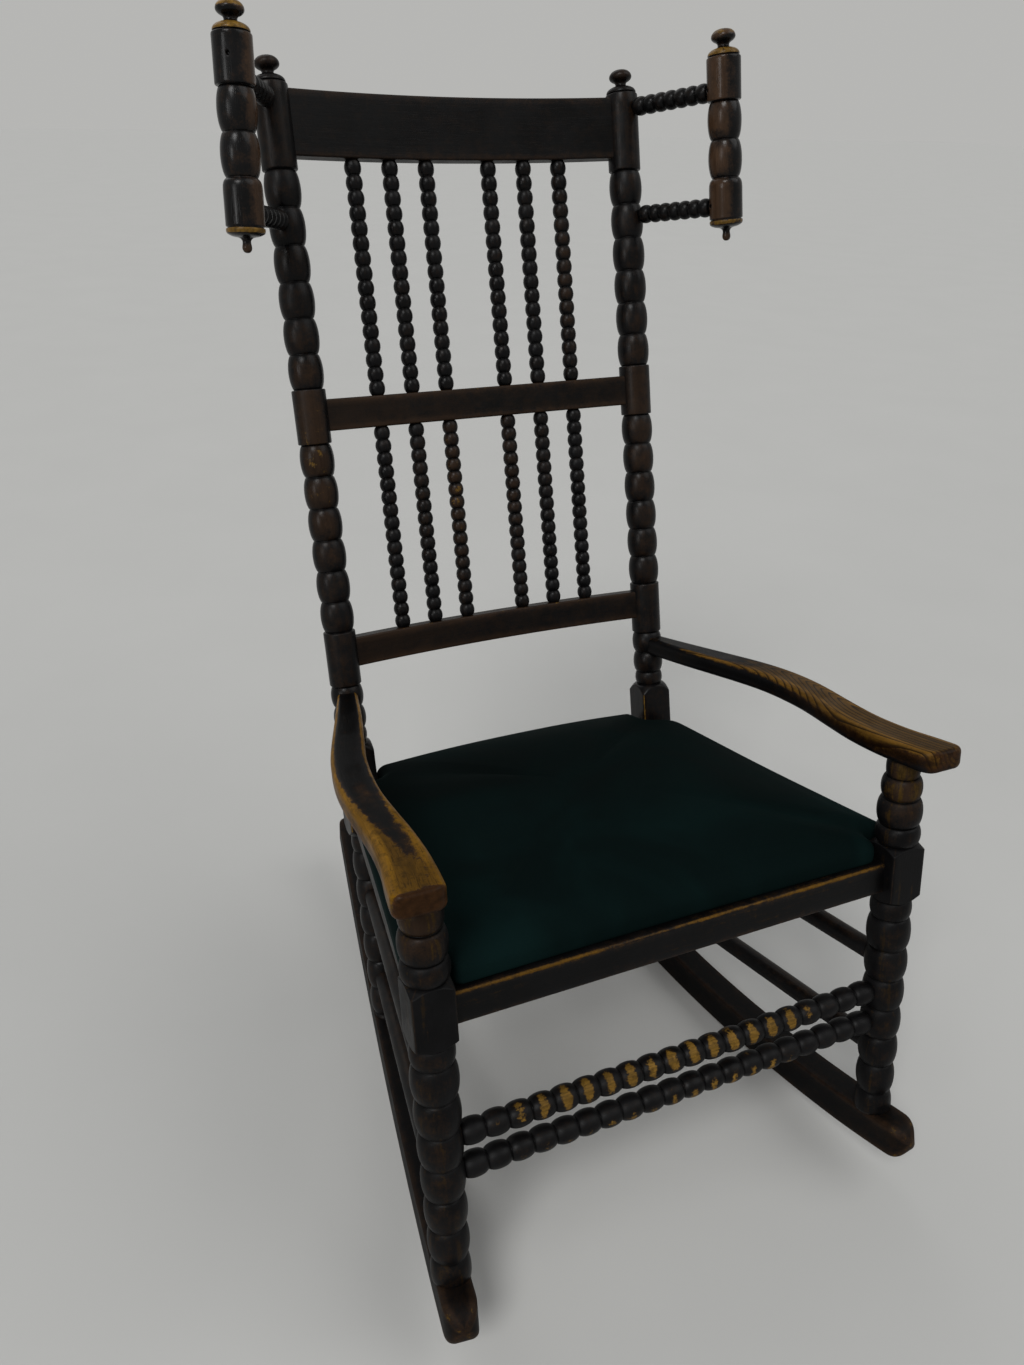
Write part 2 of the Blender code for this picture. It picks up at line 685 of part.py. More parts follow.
def make_back_rail(shop, name, middle, height, posts, rounds):
    """A bowed rail, shaped to the round posts and tenoned into them."""
    placing = Matrix.Translation((0, 0, middle))
    mesh = outline_mesh(name, [bowed_outline()], height / 2)
    rail = shop.piece(name, mesh, shop.back, placing, WORN_BLACK)
    face = BACK_POST_X - POST_RADIUS
    inside = face - 2 * BACK_RAIL_TENON_LENGTH
    deep = face + BACK_RAIL_TENON_LENGTH
    thick = BACK_RAIL_TENON_THICKNESS / 2
    tall = height / 2 - BACK_RAIL_TENON_SHOULDER
    for word, side in SIDES.items():
        cut(rail, rounds[word])
    for word, side in SIDES.items():
        middle_y = bow(face)
        placed = placing @ Matrix.Translation((0, middle_y, 0))
        label = name + "_" + word
        low, high = sorted((side * inside, side * deep))
        tenon = box_mesh(label + "_tenon", (low, -thick, -tall), (high, thick, tall))
        unite(rail, shop.helper(label + "_tenon", tenon, shop.back, placed))
        low, high = sorted((side * inside, side * (deep + FIT)))
        room = (thick + FIT, tall + FIT)
        mortise = box_mesh(label + "_mortise", (low, -room[0], -room[1]), (high, room[0], room[1]))
        cut(posts[word], shop.helper(label + "_mortise", mortise, shop.back, placed))
    return rail


def make_spindles(shop, tier, low_rail, high_rail, low, high):
    """Six bobbin spindles between the top of one rail and the underside of the next."""
    bottom = low + FIT
    top = high - FIT
    long = SPINDLE_TENON_LENGTH
    profile = [(SPINDLE_TENON_RADIUS, top + long), (SPINDLE_TENON_RADIUS, top)]
    profile += beads(top, bottom, SPINDLE_BOBBIN_COUNT, SPINDLE_CREST_RADIUS, SPINDLE_GROOVE_RADIUS)
    profile += [(SPINDLE_TENON_RADIUS, bottom), (SPINDLE_TENON_RADIUS, bottom - long)]
    group = [SPINDLE_INNER_X + SPINDLE_PITCH * index for index in range(SPINDLES_IN_GROUP)]
    for index, x in enumerate([-x for x in reversed(group)] + group):
        name = f"{tier}_spindle_{index + 1}"
        placing = Matrix.Translation((x, bow(x), 0))
        spindle = shop.piece(name, turned_mesh(name, profile), shop.back, placing, EBONISED)
        turn(spindle, SPINDLE_STEPS)
        radius = socket_radius(SPINDLE_TENON_RADIUS)
        upper = rod_mesh(name + "_upper_socket", radius, top - FIT, top + long + FIT)
        cut(high_rail, shop.helper(name + "_upper_socket", upper, shop.back, placing))
        lower = rod_mesh(name + "_lower_socket", radius, bottom - long - FIT, bottom + FIT)
        cut(low_rail, shop.helper(name + "_lower_socket", lower, shop.back, placing))


def wing_heights():
    """Heights in the leaning frame: the peg's tip, the lower arm, the upper arm and the finial's top."""
    crest_top = rail_ends(CREST_RAIL_MIDDLE, CREST_RAIL_HEIGHT)[1]
    upper = post_height(crest_top) - UPPER_WING_ARM_BELOW_CREST
    lower = upper - WING_ARM_SPACING
    tip = lower - WING_BLOCK_BELOW_ARM - WING_DISC - WING_PEG
    top = upper + WING_CAP_ABOVE_ARM + finial_rise()
    return tip, lower, upper, top


def wing_point(side, height):
    """The point of a wing post's axis at a height of the leaning frame."""
    tip, lower, upper, top = wing_heights()
    share = (height - tip) / (top - tip)
    spread = WING_SPREAD_TIP + share * (WING_SPREAD_TOP - WING_SPREAD_TIP)
    return Vector((side * (BACK_POST_X + spread), post_point(side, upper).y - WING_FORWARD, height))


def wing_post_profile():
    """Finial, plain cap, two bobbins, plain block, disc and hanging peg, above the peg's tip."""
    tip, lower, upper, top = wing_heights()
    cap_top = upper + WING_CAP_ABOVE_ARM - tip
    cap_bottom = upper - WING_CAP_BELOW_ARM - tip
    block_top = lower + WING_BLOCK_ABOVE_ARM - tip
    block_bottom = lower - WING_BLOCK_BELOW_ARM - tip
    profile = finial(cap_top, WING_POST_RADIUS)
    profile += [(WING_POST_RADIUS, cap_top), (WING_POST_RADIUS, cap_bottom)]
    profile += bobbins(cap_bottom, block_top, WING_BOBBIN_COUNT, WING_POST_RADIUS, LEG_CORE_RADIUS)
    profile += [(WING_POST_RADIUS, block_top), (WING_POST_RADIUS, block_bottom - WING_RING)]
    profile += [(LEG_NECK_RADIUS, WING_PEG), (WING_PEG_RADIUS, WING_PEG - WING_PEG_RADIUS)]
    profile += [(WING_PEG_RADIUS, WING_PEG_RADIUS / 2)]
    profile += [(WING_PEG_RADIUS / 2, 0)]
    return profile


def make_wing(shop, word, side, post):
    """One wing: a hanging post, two bobbin arms tenoned into both posts, a pin through each tenon."""
    name = word + "_wing_post"
    tip_height, lower, upper, top_height = wing_heights()
    tip = wing_point(side, tip_height)
    head = wing_point(side, top_height)
    mesh = turned_mesh(name, wing_post_profile())
    wing = shop.piece(name, mesh, shop.level, upright_along(tip, head), WORN_BLACK)
    turn(wing, LEG_STEPS)
    for level, height in (("upper", upper), ("lower", lower)):
        start = post_point(side, height)
        end = wing_point(side, height)
        hosts = ((post, post_axis(), POST_RADIUS), (wing, head - tip, WING_POST_RADIUS))
        label = f"{word}_{level}_wing_arm"
        row = (WING_ARM_BOBBIN_COUNT, WING_ARM_CREST_RADIUS, WING_ARM_GROOVE_RADIUS)
        tenon = (WING_TENON_RADIUS, WING_TENON_LENGTH)
        arm = make_stretcher(shop, label, start, end, hosts, tenon, BOBBIN_ROW_STEPS, row)
        make_wing_pin(shop, f"{word}_{level}_wing_pin", start, end, arm, wing)


def make_wing_pin(shop, name, start, end, arm, wing):
    """A thin pin across the wing post and the arm's tenon, sunk a little below the surface."""
    ahead = (end - start).normalized()
    across = Vector((0, 0, 1)).cross(ahead).normalized()
    inward = across if across.y < 0 else -across
    centre = end - ahead * (WING_POST_RADIUS - WING_TENON_LENGTH / 2)
    low = centre - inward * WING_PIN_LENGTH / 2
    placing = upright_along(low, low + inward)
    mesh = rod_mesh(name, WING_PIN_RADIUS, 0, WING_PIN_LENGTH)
    shop.piece(name, mesh, shop.level, placing, EBONISED)
    hole = rod_mesh(name + "_hole", socket_radius(WING_PIN_RADIUS), -FIT, 2 * WING_POST_RADIUS)
    hole_cutter = shop.helper(name + "_hole", hole, shop.level, placing)
    cut(arm, hole_cutter)
    cut(wing, hole_cutter)


def make_stretcher(shop, name, start, end, hosts, tenon, steps, row=None, plain_radius=0.0):
    """A round member between two axes: shoulders against both hosts, tenons in sockets of one size.

    hosts is a pair of (object, axis direction, radius). A row of bobbins fills the length between the
    shoulders, or the member is plain.
    """
    span = (end - start).length
    radius = row[1] if row else plain_radius
    near = round_shoulder(end - start, hosts[0][1], hosts[0][2], radius)
    far = span - round_shoulder(end - start, hosts[1][1], hosts[1][2], radius)
    tenon_radius, tenon_length = tenon
    profile = [(tenon_radius, far + tenon_length), (tenon_radius, far)]
    profile += bobbins(far, near, *row) if row else [(radius, far), (radius, near)]
    profile += [(tenon_radius, near), (tenon_radius, near - tenon_length)]
    placing = level_along(start, end)
    member = shop.piece(name, turned_mesh(name, profile), shop.level, placing, EBONISED)
    turn(member, steps)
    hole = socket_radius(tenon_radius)
    near_socket = rod_mesh(name + "_near_socket", hole, near - tenon_length - FIT, near + radius)
    cut(hosts[0][0], shop.helper(name + "_near_socket", near_socket, shop.level, placing))
    far_socket = rod_mesh(name + "_far_socket", hole, far - radius, far + tenon_length + FIT)
    cut(hosts[1][0], shop.helper(name + "_far_socket", far_socket, shop.level, placing))
    return member


def make_stretchers(shop, legs, posts):
    upright = Vector((0, 0, 1))
    tenon = (STRETCHER_TENON_RADIUS, STRETCHER_TENON_LENGTH)
    row = (FRONT_STRETCHER_BOBBIN_COUNT, FRONT_STRETCHER_CREST_RADIUS, FRONT_STRETCHER_GROOVE_RADIUS)
    for level, height in (("upper", UPPER_FRONT_STRETCHER_Z), ("lower", LOWER_FRONT_STRETCHER_Z)):
        start = Vector((-FRONT_LEG_X, FRONT_LEG_Y, height))
        end = Vector((FRONT_LEG_X, FRONT_LEG_Y, height))
        hosts = [(legs[word], upright, LEG_CREST_RADIUS) for word in SIDES]
        name = level + "_front_stretcher"
        make_stretcher(shop, name, start, end, hosts, tenon, BOBBIN_ROW_STEPS, row)
    plain = {"steps": STRETCHER_STEPS, "plain_radius": PLAIN_STRETCHER_RADIUS}
    for word, side in SIDES.items():
        for level, height in (("upper", UPPER_SIDE_STRETCHER_Z), ("lower", LOWER_SIDE_STRETCHER_Z)):
            start = Vector((side * FRONT_LEG_X, FRONT_LEG_Y, height))
            hosts = (
                (legs[word], upright, LEG_CREST_RADIUS),
                (posts[word], post_axis(), LEG_CREST_RADIUS),
            )
            name = f"{word}_{level}_side_stretcher"
            make_stretcher(shop, name, start, post_point(side, height), hosts, tenon, **plain)
    hosts = [(posts[word], post_axis(), LEG_CREST_RADIUS) for word in SIDES]
    ends = [post_point(side, BACK_STRETCHER_Z) for side in SIDES.values()]
    make_stretcher(shop, "back_stretcher", *ends, hosts, tenon, **plain)


def make_seat_rail(shop, name, start, end, faces, hosts, rooms, finish):
    """A rail between two blocks, with a tenon at each end.

    faces is how far the blocks' faces are from start and from end, along the rail. A rail that meets
    its blocks at an angle reaches their axes, and rooms are what its shoulders are cut to.
    """
    placing = level_along(start, end)
    span = (end - start).length
    thick = SEAT_RAIL_THICKNESS / 2
    tall = SEAT_RAIL_HEIGHT / 2
    near = 0 if rooms else faces[0] + FIT
    far = span if rooms else span - faces[1] - FIT
    rail_mesh = box_mesh(name, (-thick, -tall, near), (thick, tall, far))
    rail = shop.piece(name, rail_mesh, shop.level, placing, finish)
    for room in rooms:
        cut(rail, room)
    thick = SEAT_TENON_THICKNESS / 2
    tall = SEAT_TENON_HEIGHT / 2
    low = faces[0] - SEAT_TENON_LENGTH
    high = span - faces[1] + SEAT_TENON_LENGTH
    tenon_mesh = box_mesh(name + "_tenon", (-thick, -tall, low), (thick, tall, high))
    unite(rail, shop.helper(name + "_tenon", tenon_mesh, shop.level, placing))
    thick += FIT
    tall += FIT
    room_mesh = box_mesh(name + "_mortise", (-thick, -tall, low - FIT), (thick, tall, high + FIT))
    mortise = shop.helper(name + "_mortise", room_mesh, shop.level, placing)
    for host in hosts:
        cut(host, mortise)
    return rail


def front_rail_face():
    return FRONT_LEG_Y - LEG_BLOCK / 2 + FRONT_RAIL_SETBACK


def make_seat_rails(shop, legs, posts, leg_rooms, post_rooms):
    rail_y = front_rail_face() + SEAT_RAIL_THICKNESS / 2
    start = Vector((-FRONT_LEG_X, rail_y, SEAT_RAIL_MIDDLE))
    end = Vector((FRONT_LEG_X, rail_y, SEAT_RAIL_MIDDLE))
    faces = (LEG_BLOCK / 2, LEG_BLOCK / 2)
    make_seat_rail(shop, "front_seat_rail", start, end, faces, legs.values(), (), WORN_BLACK)
    start = Vector((-BACK_POST_X, BACK_POST_Y, SEAT_RAIL_MIDDLE))
    end = Vector((BACK_POST_X, BACK_POST_Y, SEAT_RAIL_MIDDLE))
    faces = (POST_BLOCK / 2, POST_BLOCK / 2)
    make_seat_rail(shop, "back_seat_rail", start, end, faces, posts.values(), (), EBONISED)
    for word, side in SIDES.items():
        start = Vector((side * FRONT_LEG_X, FRONT_LEG_Y, SEAT_RAIL_MIDDLE))
        end = Vector((side * BACK_POST_X, BACK_POST_Y, SEAT_RAIL_MIDDLE))
        faces = (LEG_BLOCK / 2, POST_BLOCK / 2)
        hosts = (legs[word], posts[word])
        rooms = (leg_rooms[word], post_rooms[word])
        make_seat_rail(shop, word + "_seat_rail", start, end, faces, hosts, rooms, EBONISED)


def arm_rear(side):
    """Where the arm's middle line meets the post, at the arm's underside."""
    return post_point(side, arm_underside()).y


def arm_curve(name, side):
    """The arm from above: full beside the leg, swept in towards the post, with round front corners."""
    front = FRONT_LEG_Y - ARM_OVERHANG
    rear = arm_rear(side)
    inner = [(x, y, "AUTO") for y, x, _ in reversed(ARM_PLAN)]
    outer = [(x, y, "AUTO") for y, _, x in ARM_PLAN]
    knots = [(BACK_POST_X - ARM_REAR_WIDTH / 2, rear, "VECTOR"), *inner]
    knots += [
        (ARM_FRONT_INNER_X, front + ARM_CORNER, "AUTO"),
        (ARM_FRONT_INNER_X + ARM_CORNER, front, "AUTO"),
        (ARM_FRONT_OUTER_X - ARM_CORNER, front, "AUTO"),
        (ARM_FRONT_OUTER_X, front + ARM_CORNER, "AUTO"),
    ]
    knots += [*outer, (BACK_POST_X + ARM_REAR_WIDTH / 2, rear, "VECTOR")]
    curve = bpy.data.curves.new(name + "_outline", "CURVE")
    curve.dimensions = "2D"
    curve.fill_mode = "BOTH"
    curve.resolution_u = 4
    curve.extrude = ARM_THICKNESS / 2 - ARM_EDGE_ROUND
    curve.bevel_depth = ARM_EDGE_ROUND
    curve.bevel_resolution = 1
    curve.offset = -ARM_EDGE_ROUND
    spline = curve.splines.new("BEZIER")
    spline.bezier_points.add(len(knots) - 1)
    spline.use_cyclic_u = True
    for point, (x, y, handle) in zip(spline.bezier_points, knots):
        point.co = (side * x, y, 0)
        point.handle_left_type = handle
        point.handle_right_type = handle
    return curve


def make_arm(shop, word, side, post, post_round):
    """An arm on the leg's tenon, its rear end shaped to the post and tenoned into it."""
    name = word + "_arm"
    height = arm_underside() + ARM_THICKNESS / 2
    placing = Matrix.Translation((0, 0, height))
    mesh = mesh_of_curve(name, arm_curve(name, side))
    arm = shop.piece(name, mesh, shop.level, placing, WORN_GOLD)
    cut(arm, post_round)
    leg_placing = Matrix.Translation((side * FRONT_LEG_X, FRONT_LEG_Y, 0))
    bottom = arm_underside() - LEG_TOP_RADIUS
    top = arm_underside() + ARM_TENON_LENGTH
    hole = rod_mesh(name + "_leg_socket", socket_radius(ARM_TENON_RADIUS), bottom, top)
    cut(arm, shop.helper(name + "_leg_socket", hole, shop.level, leg_placing))
    middle_y, inner_x, outer_x = ARM_PLAN[-1]
    end = post_point(side, height)
    start = Vector((side * (inner_x + outer_x) / 2, middle_y, height)).lerp(end, 0.5)
    tenon_placing = level_along(start, end)
    reach = (end - start).length - POST_RADIUS + ARM_REAR_TENON_LENGTH
    tenon = rod_mesh(name + "_tenon", ARM_REAR_TENON_RADIUS, 0, reach)
    unite(arm, shop.helper(name + "_tenon", tenon, shop.level, tenon_placing))
    radius = socket_radius(ARM_REAR_TENON_RADIUS)
    socket = rod_mesh(name + "_rear_socket", radius, 0, reach + FIT)
    cut(post, shop.helper(name + "_rear_socket", socket, shop.level, tenon_placing))


def side_line():
    """The side rail's middle line as x at y = 0, slope of x, and the cosine of its angle."""
    slope = (BACK_POST_X - FRONT_LEG_X) / (BACK_POST_Y - FRONT_LEG_Y)
    return FRONT_LEG_X - slope * FRONT_LEG_Y, slope, 1 / math.sqrt(1 + slope * slope)


def seat_side_x(y, inset):
    """The seat's right edge: a little outside the side rail, or that much further in."""
    x, slope, cosine = side_line()
    return x + slope * y + (SEAT_RAIL_THICKNESS / 2 + SEAT_OVERHANG - inset) / cosine


def seat_corners(inset):
    """The right half of the seat's outline from front to back, notched round the leg and the post."""
    leg_room = max(LEG_BLOCK / 2, LEG_SWELL_RADIUS) + SEAT_CLEARANCE + inset
    post_room = POST_BLOCK / 2 / math.cos(POST_RAKE) + SEAT_CLEARANCE + inset
    front = front_rail_face() + SEAT_LIP + inset
    back = BACK_POST_Y + SEAT_RAIL_THICKNESS / 2 + SEAT_OVERHANG - inset
    leg_y = FRONT_LEG_Y + leg_room
    post_y = BACK_POST_Y - post_room
    return [
        (FRONT_LEG_X - leg_room, front),
        (FRONT_LEG_X - leg_room, leg_y),
        (seat_side_x(leg_y, inset), leg_y),
        (seat_side_x(post_y, inset), post_y),
        (BACK_POST_X - post_room, post_y),
        (BACK_POST_X - post_room, back),
    ]


def mirrored(half):
    """A closed outline from its right half, listed from front to back."""
    return half + [(-x, y) for x, y in reversed(half)]


def seat_levels():
    """The undersides of the seat's frame, its webbing and its pad's hollow."""
    frame_bottom = rail_top() + FIT
    webbing_bottom = frame_bottom + SEAT_FRAME_THICKNESS + FIT
    hollow_top = webbing_bottom + WEBBING_THICKNESS + FIT
    return frame_bottom, webbing_bottom, hollow_top


def seat_frame_splits():
    """Where the side pieces of the seat frame start and end."""
    corners = seat_corners(SEAT_COVER)
    return corners[2][1] + SEAT_FRAME_WIDTH, corners[3][1] - SEAT_FRAME_WIDTH


def make_seat_frame(shop):
    corners = seat_corners(SEAT_COVER)
    front_split, back_split = seat_frame_splits()
    half = SEAT_FRAME_THICKNESS / 2
    placing = Matrix.Translation((0, 0, seat_levels()[0] + half))
    front = corners[:3] + [(seat_side_x(front_split, SEAT_COVER), front_split)]
    back = [(seat_side_x(back_split, SEAT_COVER), back_split)] + corners[3:]
    rails = []
    for name, outline in (("seat_frame_front", front), ("seat_frame_back", back)):
        mesh = outline_mesh(name, [mirrored(outline)], half)
        rails.append(shop.piece(name, mesh, shop.level, placing, BARE_WOOD))
    for word, side in SIDES.items():
        make_seat_frame_side(shop, word, side, rails, placing)


def make_seat_frame_side(shop, word, side, rails, placing):
    """A side of the seat frame, with a flat tenon in the front and in the back piece."""
    name = "seat_frame_" + word
    front_split, back_split = seat_frame_splits()
    low = front_split + FIT
    high = back_split - FIT
    inner = SEAT_COVER + SEAT_FRAME_WIDTH
    corners = [
        (side * seat_side_x(low, SEAT_COVER), low),
        (side * seat_side_x(high, SEAT_COVER), high),
        (side * seat_side_x(high, inner), high),
        (side * seat_side_x(low, inner), low),
    ]
    mesh = outline_mesh(name, [corners], SEAT_FRAME_THICKNESS / 2)
    piece = shop.piece(name, mesh, shop.level, placing, BARE_WOOD)
    middle = SEAT_COVER + SEAT_FRAME_WIDTH / 2
    ends = [low - SEAT_FRAME_TENON_LENGTH, high + SEAT_FRAME_TENON_LENGTH]
    height = placing.translation.z
    points = [Vector((side * seat_side_x(y, middle), y, height)) for y in ends]
    bar = level_along(*points)
    span = (points[1] - points[0]).length
    wide = SEAT_FRAME_TENON_WIDTH / 2
    thick = SEAT_FRAME_TENON_THICKNESS / 2
    tenon = box_mesh(name + "_tenon", (-wide, -thick, 0), (wide, thick, span))
    unite(piece, shop.helper(name + "_tenon", tenon, shop.level, bar))
    wide += FIT
    thick += FIT
    mortise = box_mesh(name + "_mortise", (-wide, -thick, -FIT), (wide, thick, span + FIT))
    for rail in rails:
        cut(rail, shop.helper(f"{name}_{rail.name}_mortise", mortise, shop.level, bar))


def make_webbing(shop):
    """Crossed straps tacked on the seat frame, as one net with square gaps."""
    name = "seat_webbing"
    front_split, back_split = seat_frame_splits()
    tack = SEAT_FRAME_WIDTH / 2
    low = front_split - tack
    high = back_split + tack
    edge = SEAT_COVER + SEAT_FRAME_WIDTH - tack
    half = [(seat_side_x(low, edge), low), (seat_side_x(high, edge), high)]
    outlines = [mirrored(half)]
    deep = (high - low - (WEBBING_ROWS + 1) * WEBBING_WIDTH) / WEBBING_ROWS
    for row in range(WEBBING_ROWS):
        bottom = low + WEBBING_WIDTH + row * (deep + WEBBING_WIDTH)
        top = bottom + deep
        reach = seat_side_x(top, edge) - WEBBING_WIDTH
        wide = (2 * reach - (WEBBING_COLUMNS - 1) * WEBBING_WIDTH) / WEBBING_COLUMNS
        for column in range(WEBBING_COLUMNS):
            left = -reach + column * (wide + WEBBING_WIDTH)
            right = left + wide
            outlines.append([(left, bottom), (left, top), (right, top), (right, bottom)])
    mesh = outline_mesh(name, outlines, WEBBING_THICKNESS / 2)
    placing = Matrix.Translation((0, 0, seat_levels()[1] + WEBBING_THICKNESS / 2))
    shop.piece(name, mesh, shop.level, placing, JUTE)


def pad_edge_points(corners):
    """The pad's outline with a point near each corner and along each long edge."""
    points = []
    for start, end in zip(corners, corners[1:] + corners[:1]):
        start, end = Vector(start), Vector(end)
        points.append(start)
        length = (end - start).length
        if length < 4 * PAD_CORNER:
            points.append((start + end) / 2)
            continue
        near = start.lerp(end, PAD_CORNER / length)
        far = end.lerp(start, PAD_CORNER / length)
        steps = math.ceil((far - near).length / PAD_LONGEST_EDGE)
        points += [near.lerp(far, step / steps) for step in range(steps + 1)]
    return points


def make_pad(shop):
    """The velvet pad: drawn in at its foot, full at its sides, crowned, hollow under for its frame.

    Its outline is one face that is pulled up ring by ring, then smoothed by subdivision.
    """
    name = "seat_pad"
    foot = rail_top() + FIT
    outline = pad_edge_points(mirrored(seat_corners(0)))
    centre = Vector((0, sum(point.y for point in outline) / len(outline)))
    reach = max((point - centre).length for point in outline)
    drawn = 1 - PAD_DRAW_IN / reach
    rings = [(drawn, 0), (1, PAD_FULLEST * PAD_EDGE_HEIGHT), (drawn, PAD_SHOULDER * PAD_EDGE_HEIGHT)]
    rings += [(share, PAD_EDGE_HEIGHT + rise * PAD_CROWN) for share, rise in PAD_CROWN_RINGS]
    bm = bmesh.new()
    verts = [bm.verts.new((point.x, point.y, foot)) for point in outline]
    loop = [bm.edges.new(pair) for pair in zip(verts, verts[1:] + verts[:1])]
    bmesh.ops.edgeloop_fill(bm, edges=loop)
    for share, height in rings:
        for vert in verts:
            flat = centre + (vert.co.to_2d() - centre) * share
            vert.co = (flat.x, flat.y, foot + height)
        if height == rings[-1][1]:
            break
        raised = bmesh.ops.extrude_edge_only(bm, edges=loop)["geom"]
        verts = [item for item in raised if isinstance(item, bmesh.types.BMVert)]
        loop = [item for item in raised if isinstance(item, bmesh.types.BMEdge)]
        for vert in verts:
            flat = centre + (vert.co.to_2d() - centre) / share
            vert.co = (flat.x, flat.y, foot)
    bmesh.ops.edgeloop_fill(bm, edges=loop)
    bmesh.ops.recalc_face_normals(bm, faces=bm.faces)
    pad = shop.piece(name, mesh_from(name, bm), shop.level, Matrix.Identity(4), VELVET)
    for polygon in pad.data.polygons:
        polygon.use_smooth = True
    smooth = pad.modifiers.new("stuffing", "SUBSURF")
    smooth.levels = 1
    smooth.render_levels = 1
    hollow_top = seat_levels()[2]
    half = (hollow_top - foot + SEAT_LIP) / 2
    hollow = outline_mesh(name + "_hollow", [mirrored(seat_corners(SEAT_COVER - FIT))], half)
    placing = Matrix.Translation((0, 0, hollow_top - half))
    cut(pad, shop.helper(name + "_hollow", hollow, shop.level, placing))


def stand_on_origin(shop):
    """Moves the whole chair so that the origin is in the middle of its footprint."""
    bpy.context.view_layer.update()
    graph = bpy.context.evaluated_depsgraph_get()
    reach = []
    for obj in shop.parts.objects:
        solid = obj.evaluated_get(graph)
        reach += [(solid.matrix_world @ Vector(corner)).y for corner in solid.bound_box]
    shop.floor.location.y = -(min(reach) + max(reach)) / 2


def main():
    clear_scene()
    shop = Workshop()
    legs, posts, leg_rooms, post_rooms, post_rounds = {}, {}, {}, {}, {}
    for word, side in SIDES.items():
        rocker, coping = make_rocker(shop, word, side)
        legs[word], leg_rooms[word] = make_front_leg(shop, word, side, rocker, coping)
        made = make_back_post(shop, word, side, rocker, coping)
        posts[word], post_rooms[word], post_rounds[word] = made
        make_arm(shop, word, side, posts[word], post_rounds[word])
        make_wing(shop, word, side, posts[word])
    make_seat_rails(shop, legs, posts, leg_rooms, post_rooms)
    make_stretchers(shop, legs, posts)
    rails = {}
    for name, middle, height in (
        ("crest_rail", CREST_RAIL_MIDDLE, CREST_RAIL_HEIGHT),
        ("mid_rail", MID_RAIL_MIDDLE, MID_RAIL_HEIGHT),
        ("lower_rail", LOWER_RAIL_MIDDLE, LOWER_RAIL_HEIGHT),
    ):
        rails[name] = make_back_rail(shop, name, middle, height, posts, post_rounds)
    mid_low, mid_high = rail_ends(MID_RAIL_MIDDLE, MID_RAIL_HEIGHT)
    crest_low = rail_ends(CREST_RAIL_MIDDLE, CREST_RAIL_HEIGHT)[0]
    lower_high = rail_ends(LOWER_RAIL_MIDDLE, LOWER_RAIL_HEIGHT)[1]
    make_spindles(shop, "upper", rails["mid_rail"], rails["crest_rail"], mid_high, crest_low)
    make_spindles(shop, "lower", rails["lower_rail"], rails["mid_rail"], lower_high, mid_low)
    make_seat_frame(shop)
    make_webbing(shop)
    make_pad(shop)
    stand_on_origin(shop)


main()
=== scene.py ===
"""Bobbin rocking chair: fine turned pieces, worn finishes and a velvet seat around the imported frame.

Metres, +Z up. The sitter faces -Y, and left and right are as seen from the front, with +X to the right.
Every piece is made where it stands: the seat frame's level leans back by RECLINE, the back leans further by
POST_RAKE, and both stand on the floor with the origin in the middle of the footprint.
"""

import math

import bpy
import numpy as np
from mathutils import Matrix


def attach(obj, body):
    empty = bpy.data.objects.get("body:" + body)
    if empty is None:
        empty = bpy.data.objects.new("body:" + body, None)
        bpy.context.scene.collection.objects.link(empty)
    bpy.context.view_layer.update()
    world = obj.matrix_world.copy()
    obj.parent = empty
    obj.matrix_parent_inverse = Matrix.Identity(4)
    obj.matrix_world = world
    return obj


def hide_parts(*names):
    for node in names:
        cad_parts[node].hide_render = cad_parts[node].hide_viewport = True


bl_info = {
    "name": "Bobbin rocking chair",
    "version": (1, 0, 0),
    "blender": (4, 5, 0),
    "location": "View3D > Sidebar > Chair",
    "description": "Makes the turned pieces, worn finishes and velvet seat of a bobbin rocking chair",
    "category": "Object",
}

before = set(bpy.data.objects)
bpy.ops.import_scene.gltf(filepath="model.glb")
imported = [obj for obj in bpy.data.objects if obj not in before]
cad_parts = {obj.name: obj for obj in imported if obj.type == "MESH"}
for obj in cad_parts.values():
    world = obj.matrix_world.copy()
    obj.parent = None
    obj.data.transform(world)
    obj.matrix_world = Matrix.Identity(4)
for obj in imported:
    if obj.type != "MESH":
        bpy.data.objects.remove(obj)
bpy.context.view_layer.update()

FRAME_BODY = "chair_frame"
SEAT_BODY = "loose_seat"
SIDES = {"left": -1, "right": 1}

# Leans and plan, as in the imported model
RECLINE = math.radians(10.5)
POST_RAKE = math.radians(5.28)
FOOTPRINT_MIDDLE = 0.056
LEG_X = 0.268
LEG_Y = -0.309
POST_X = 0.214
POST_Y = 0.1167
RAIL_MIDDLE = 0.3525
RAIL_HEIGHT = 0.035
RAIL_THICKNESS = 0.026
RAIL_TOP = RAIL_MIDDLE + RAIL_HEIGHT / 2
FRONT_RAIL_FACE = LEG_Y - 0.008
RAIL_SINK = 0.006
RAIL_EDGE = 0.0022

# Rockers
ROCKER_RADIUS = 1.38
ROCKER_DEPTH = 0.042
ROCKER_WIDTH = 0.036
ROCKER_REACH = 0.418
ROCKER_FLAT = 0.090
ROCKER_TONGUE = 0.030
ROCKER_EDGE = 0.0025
ROCKER_ROWS = 190
ROCKER_END_ROWS = 26
FOOT_SINK = 0.0006
FOOT_SPARE = 0.004
FOOT_BOBBINS = 1.6
ROCKER_CENTRE = math.sqrt(ROCKER_RADIUS**2 - (ROCKER_FLAT / 2) ** 2)

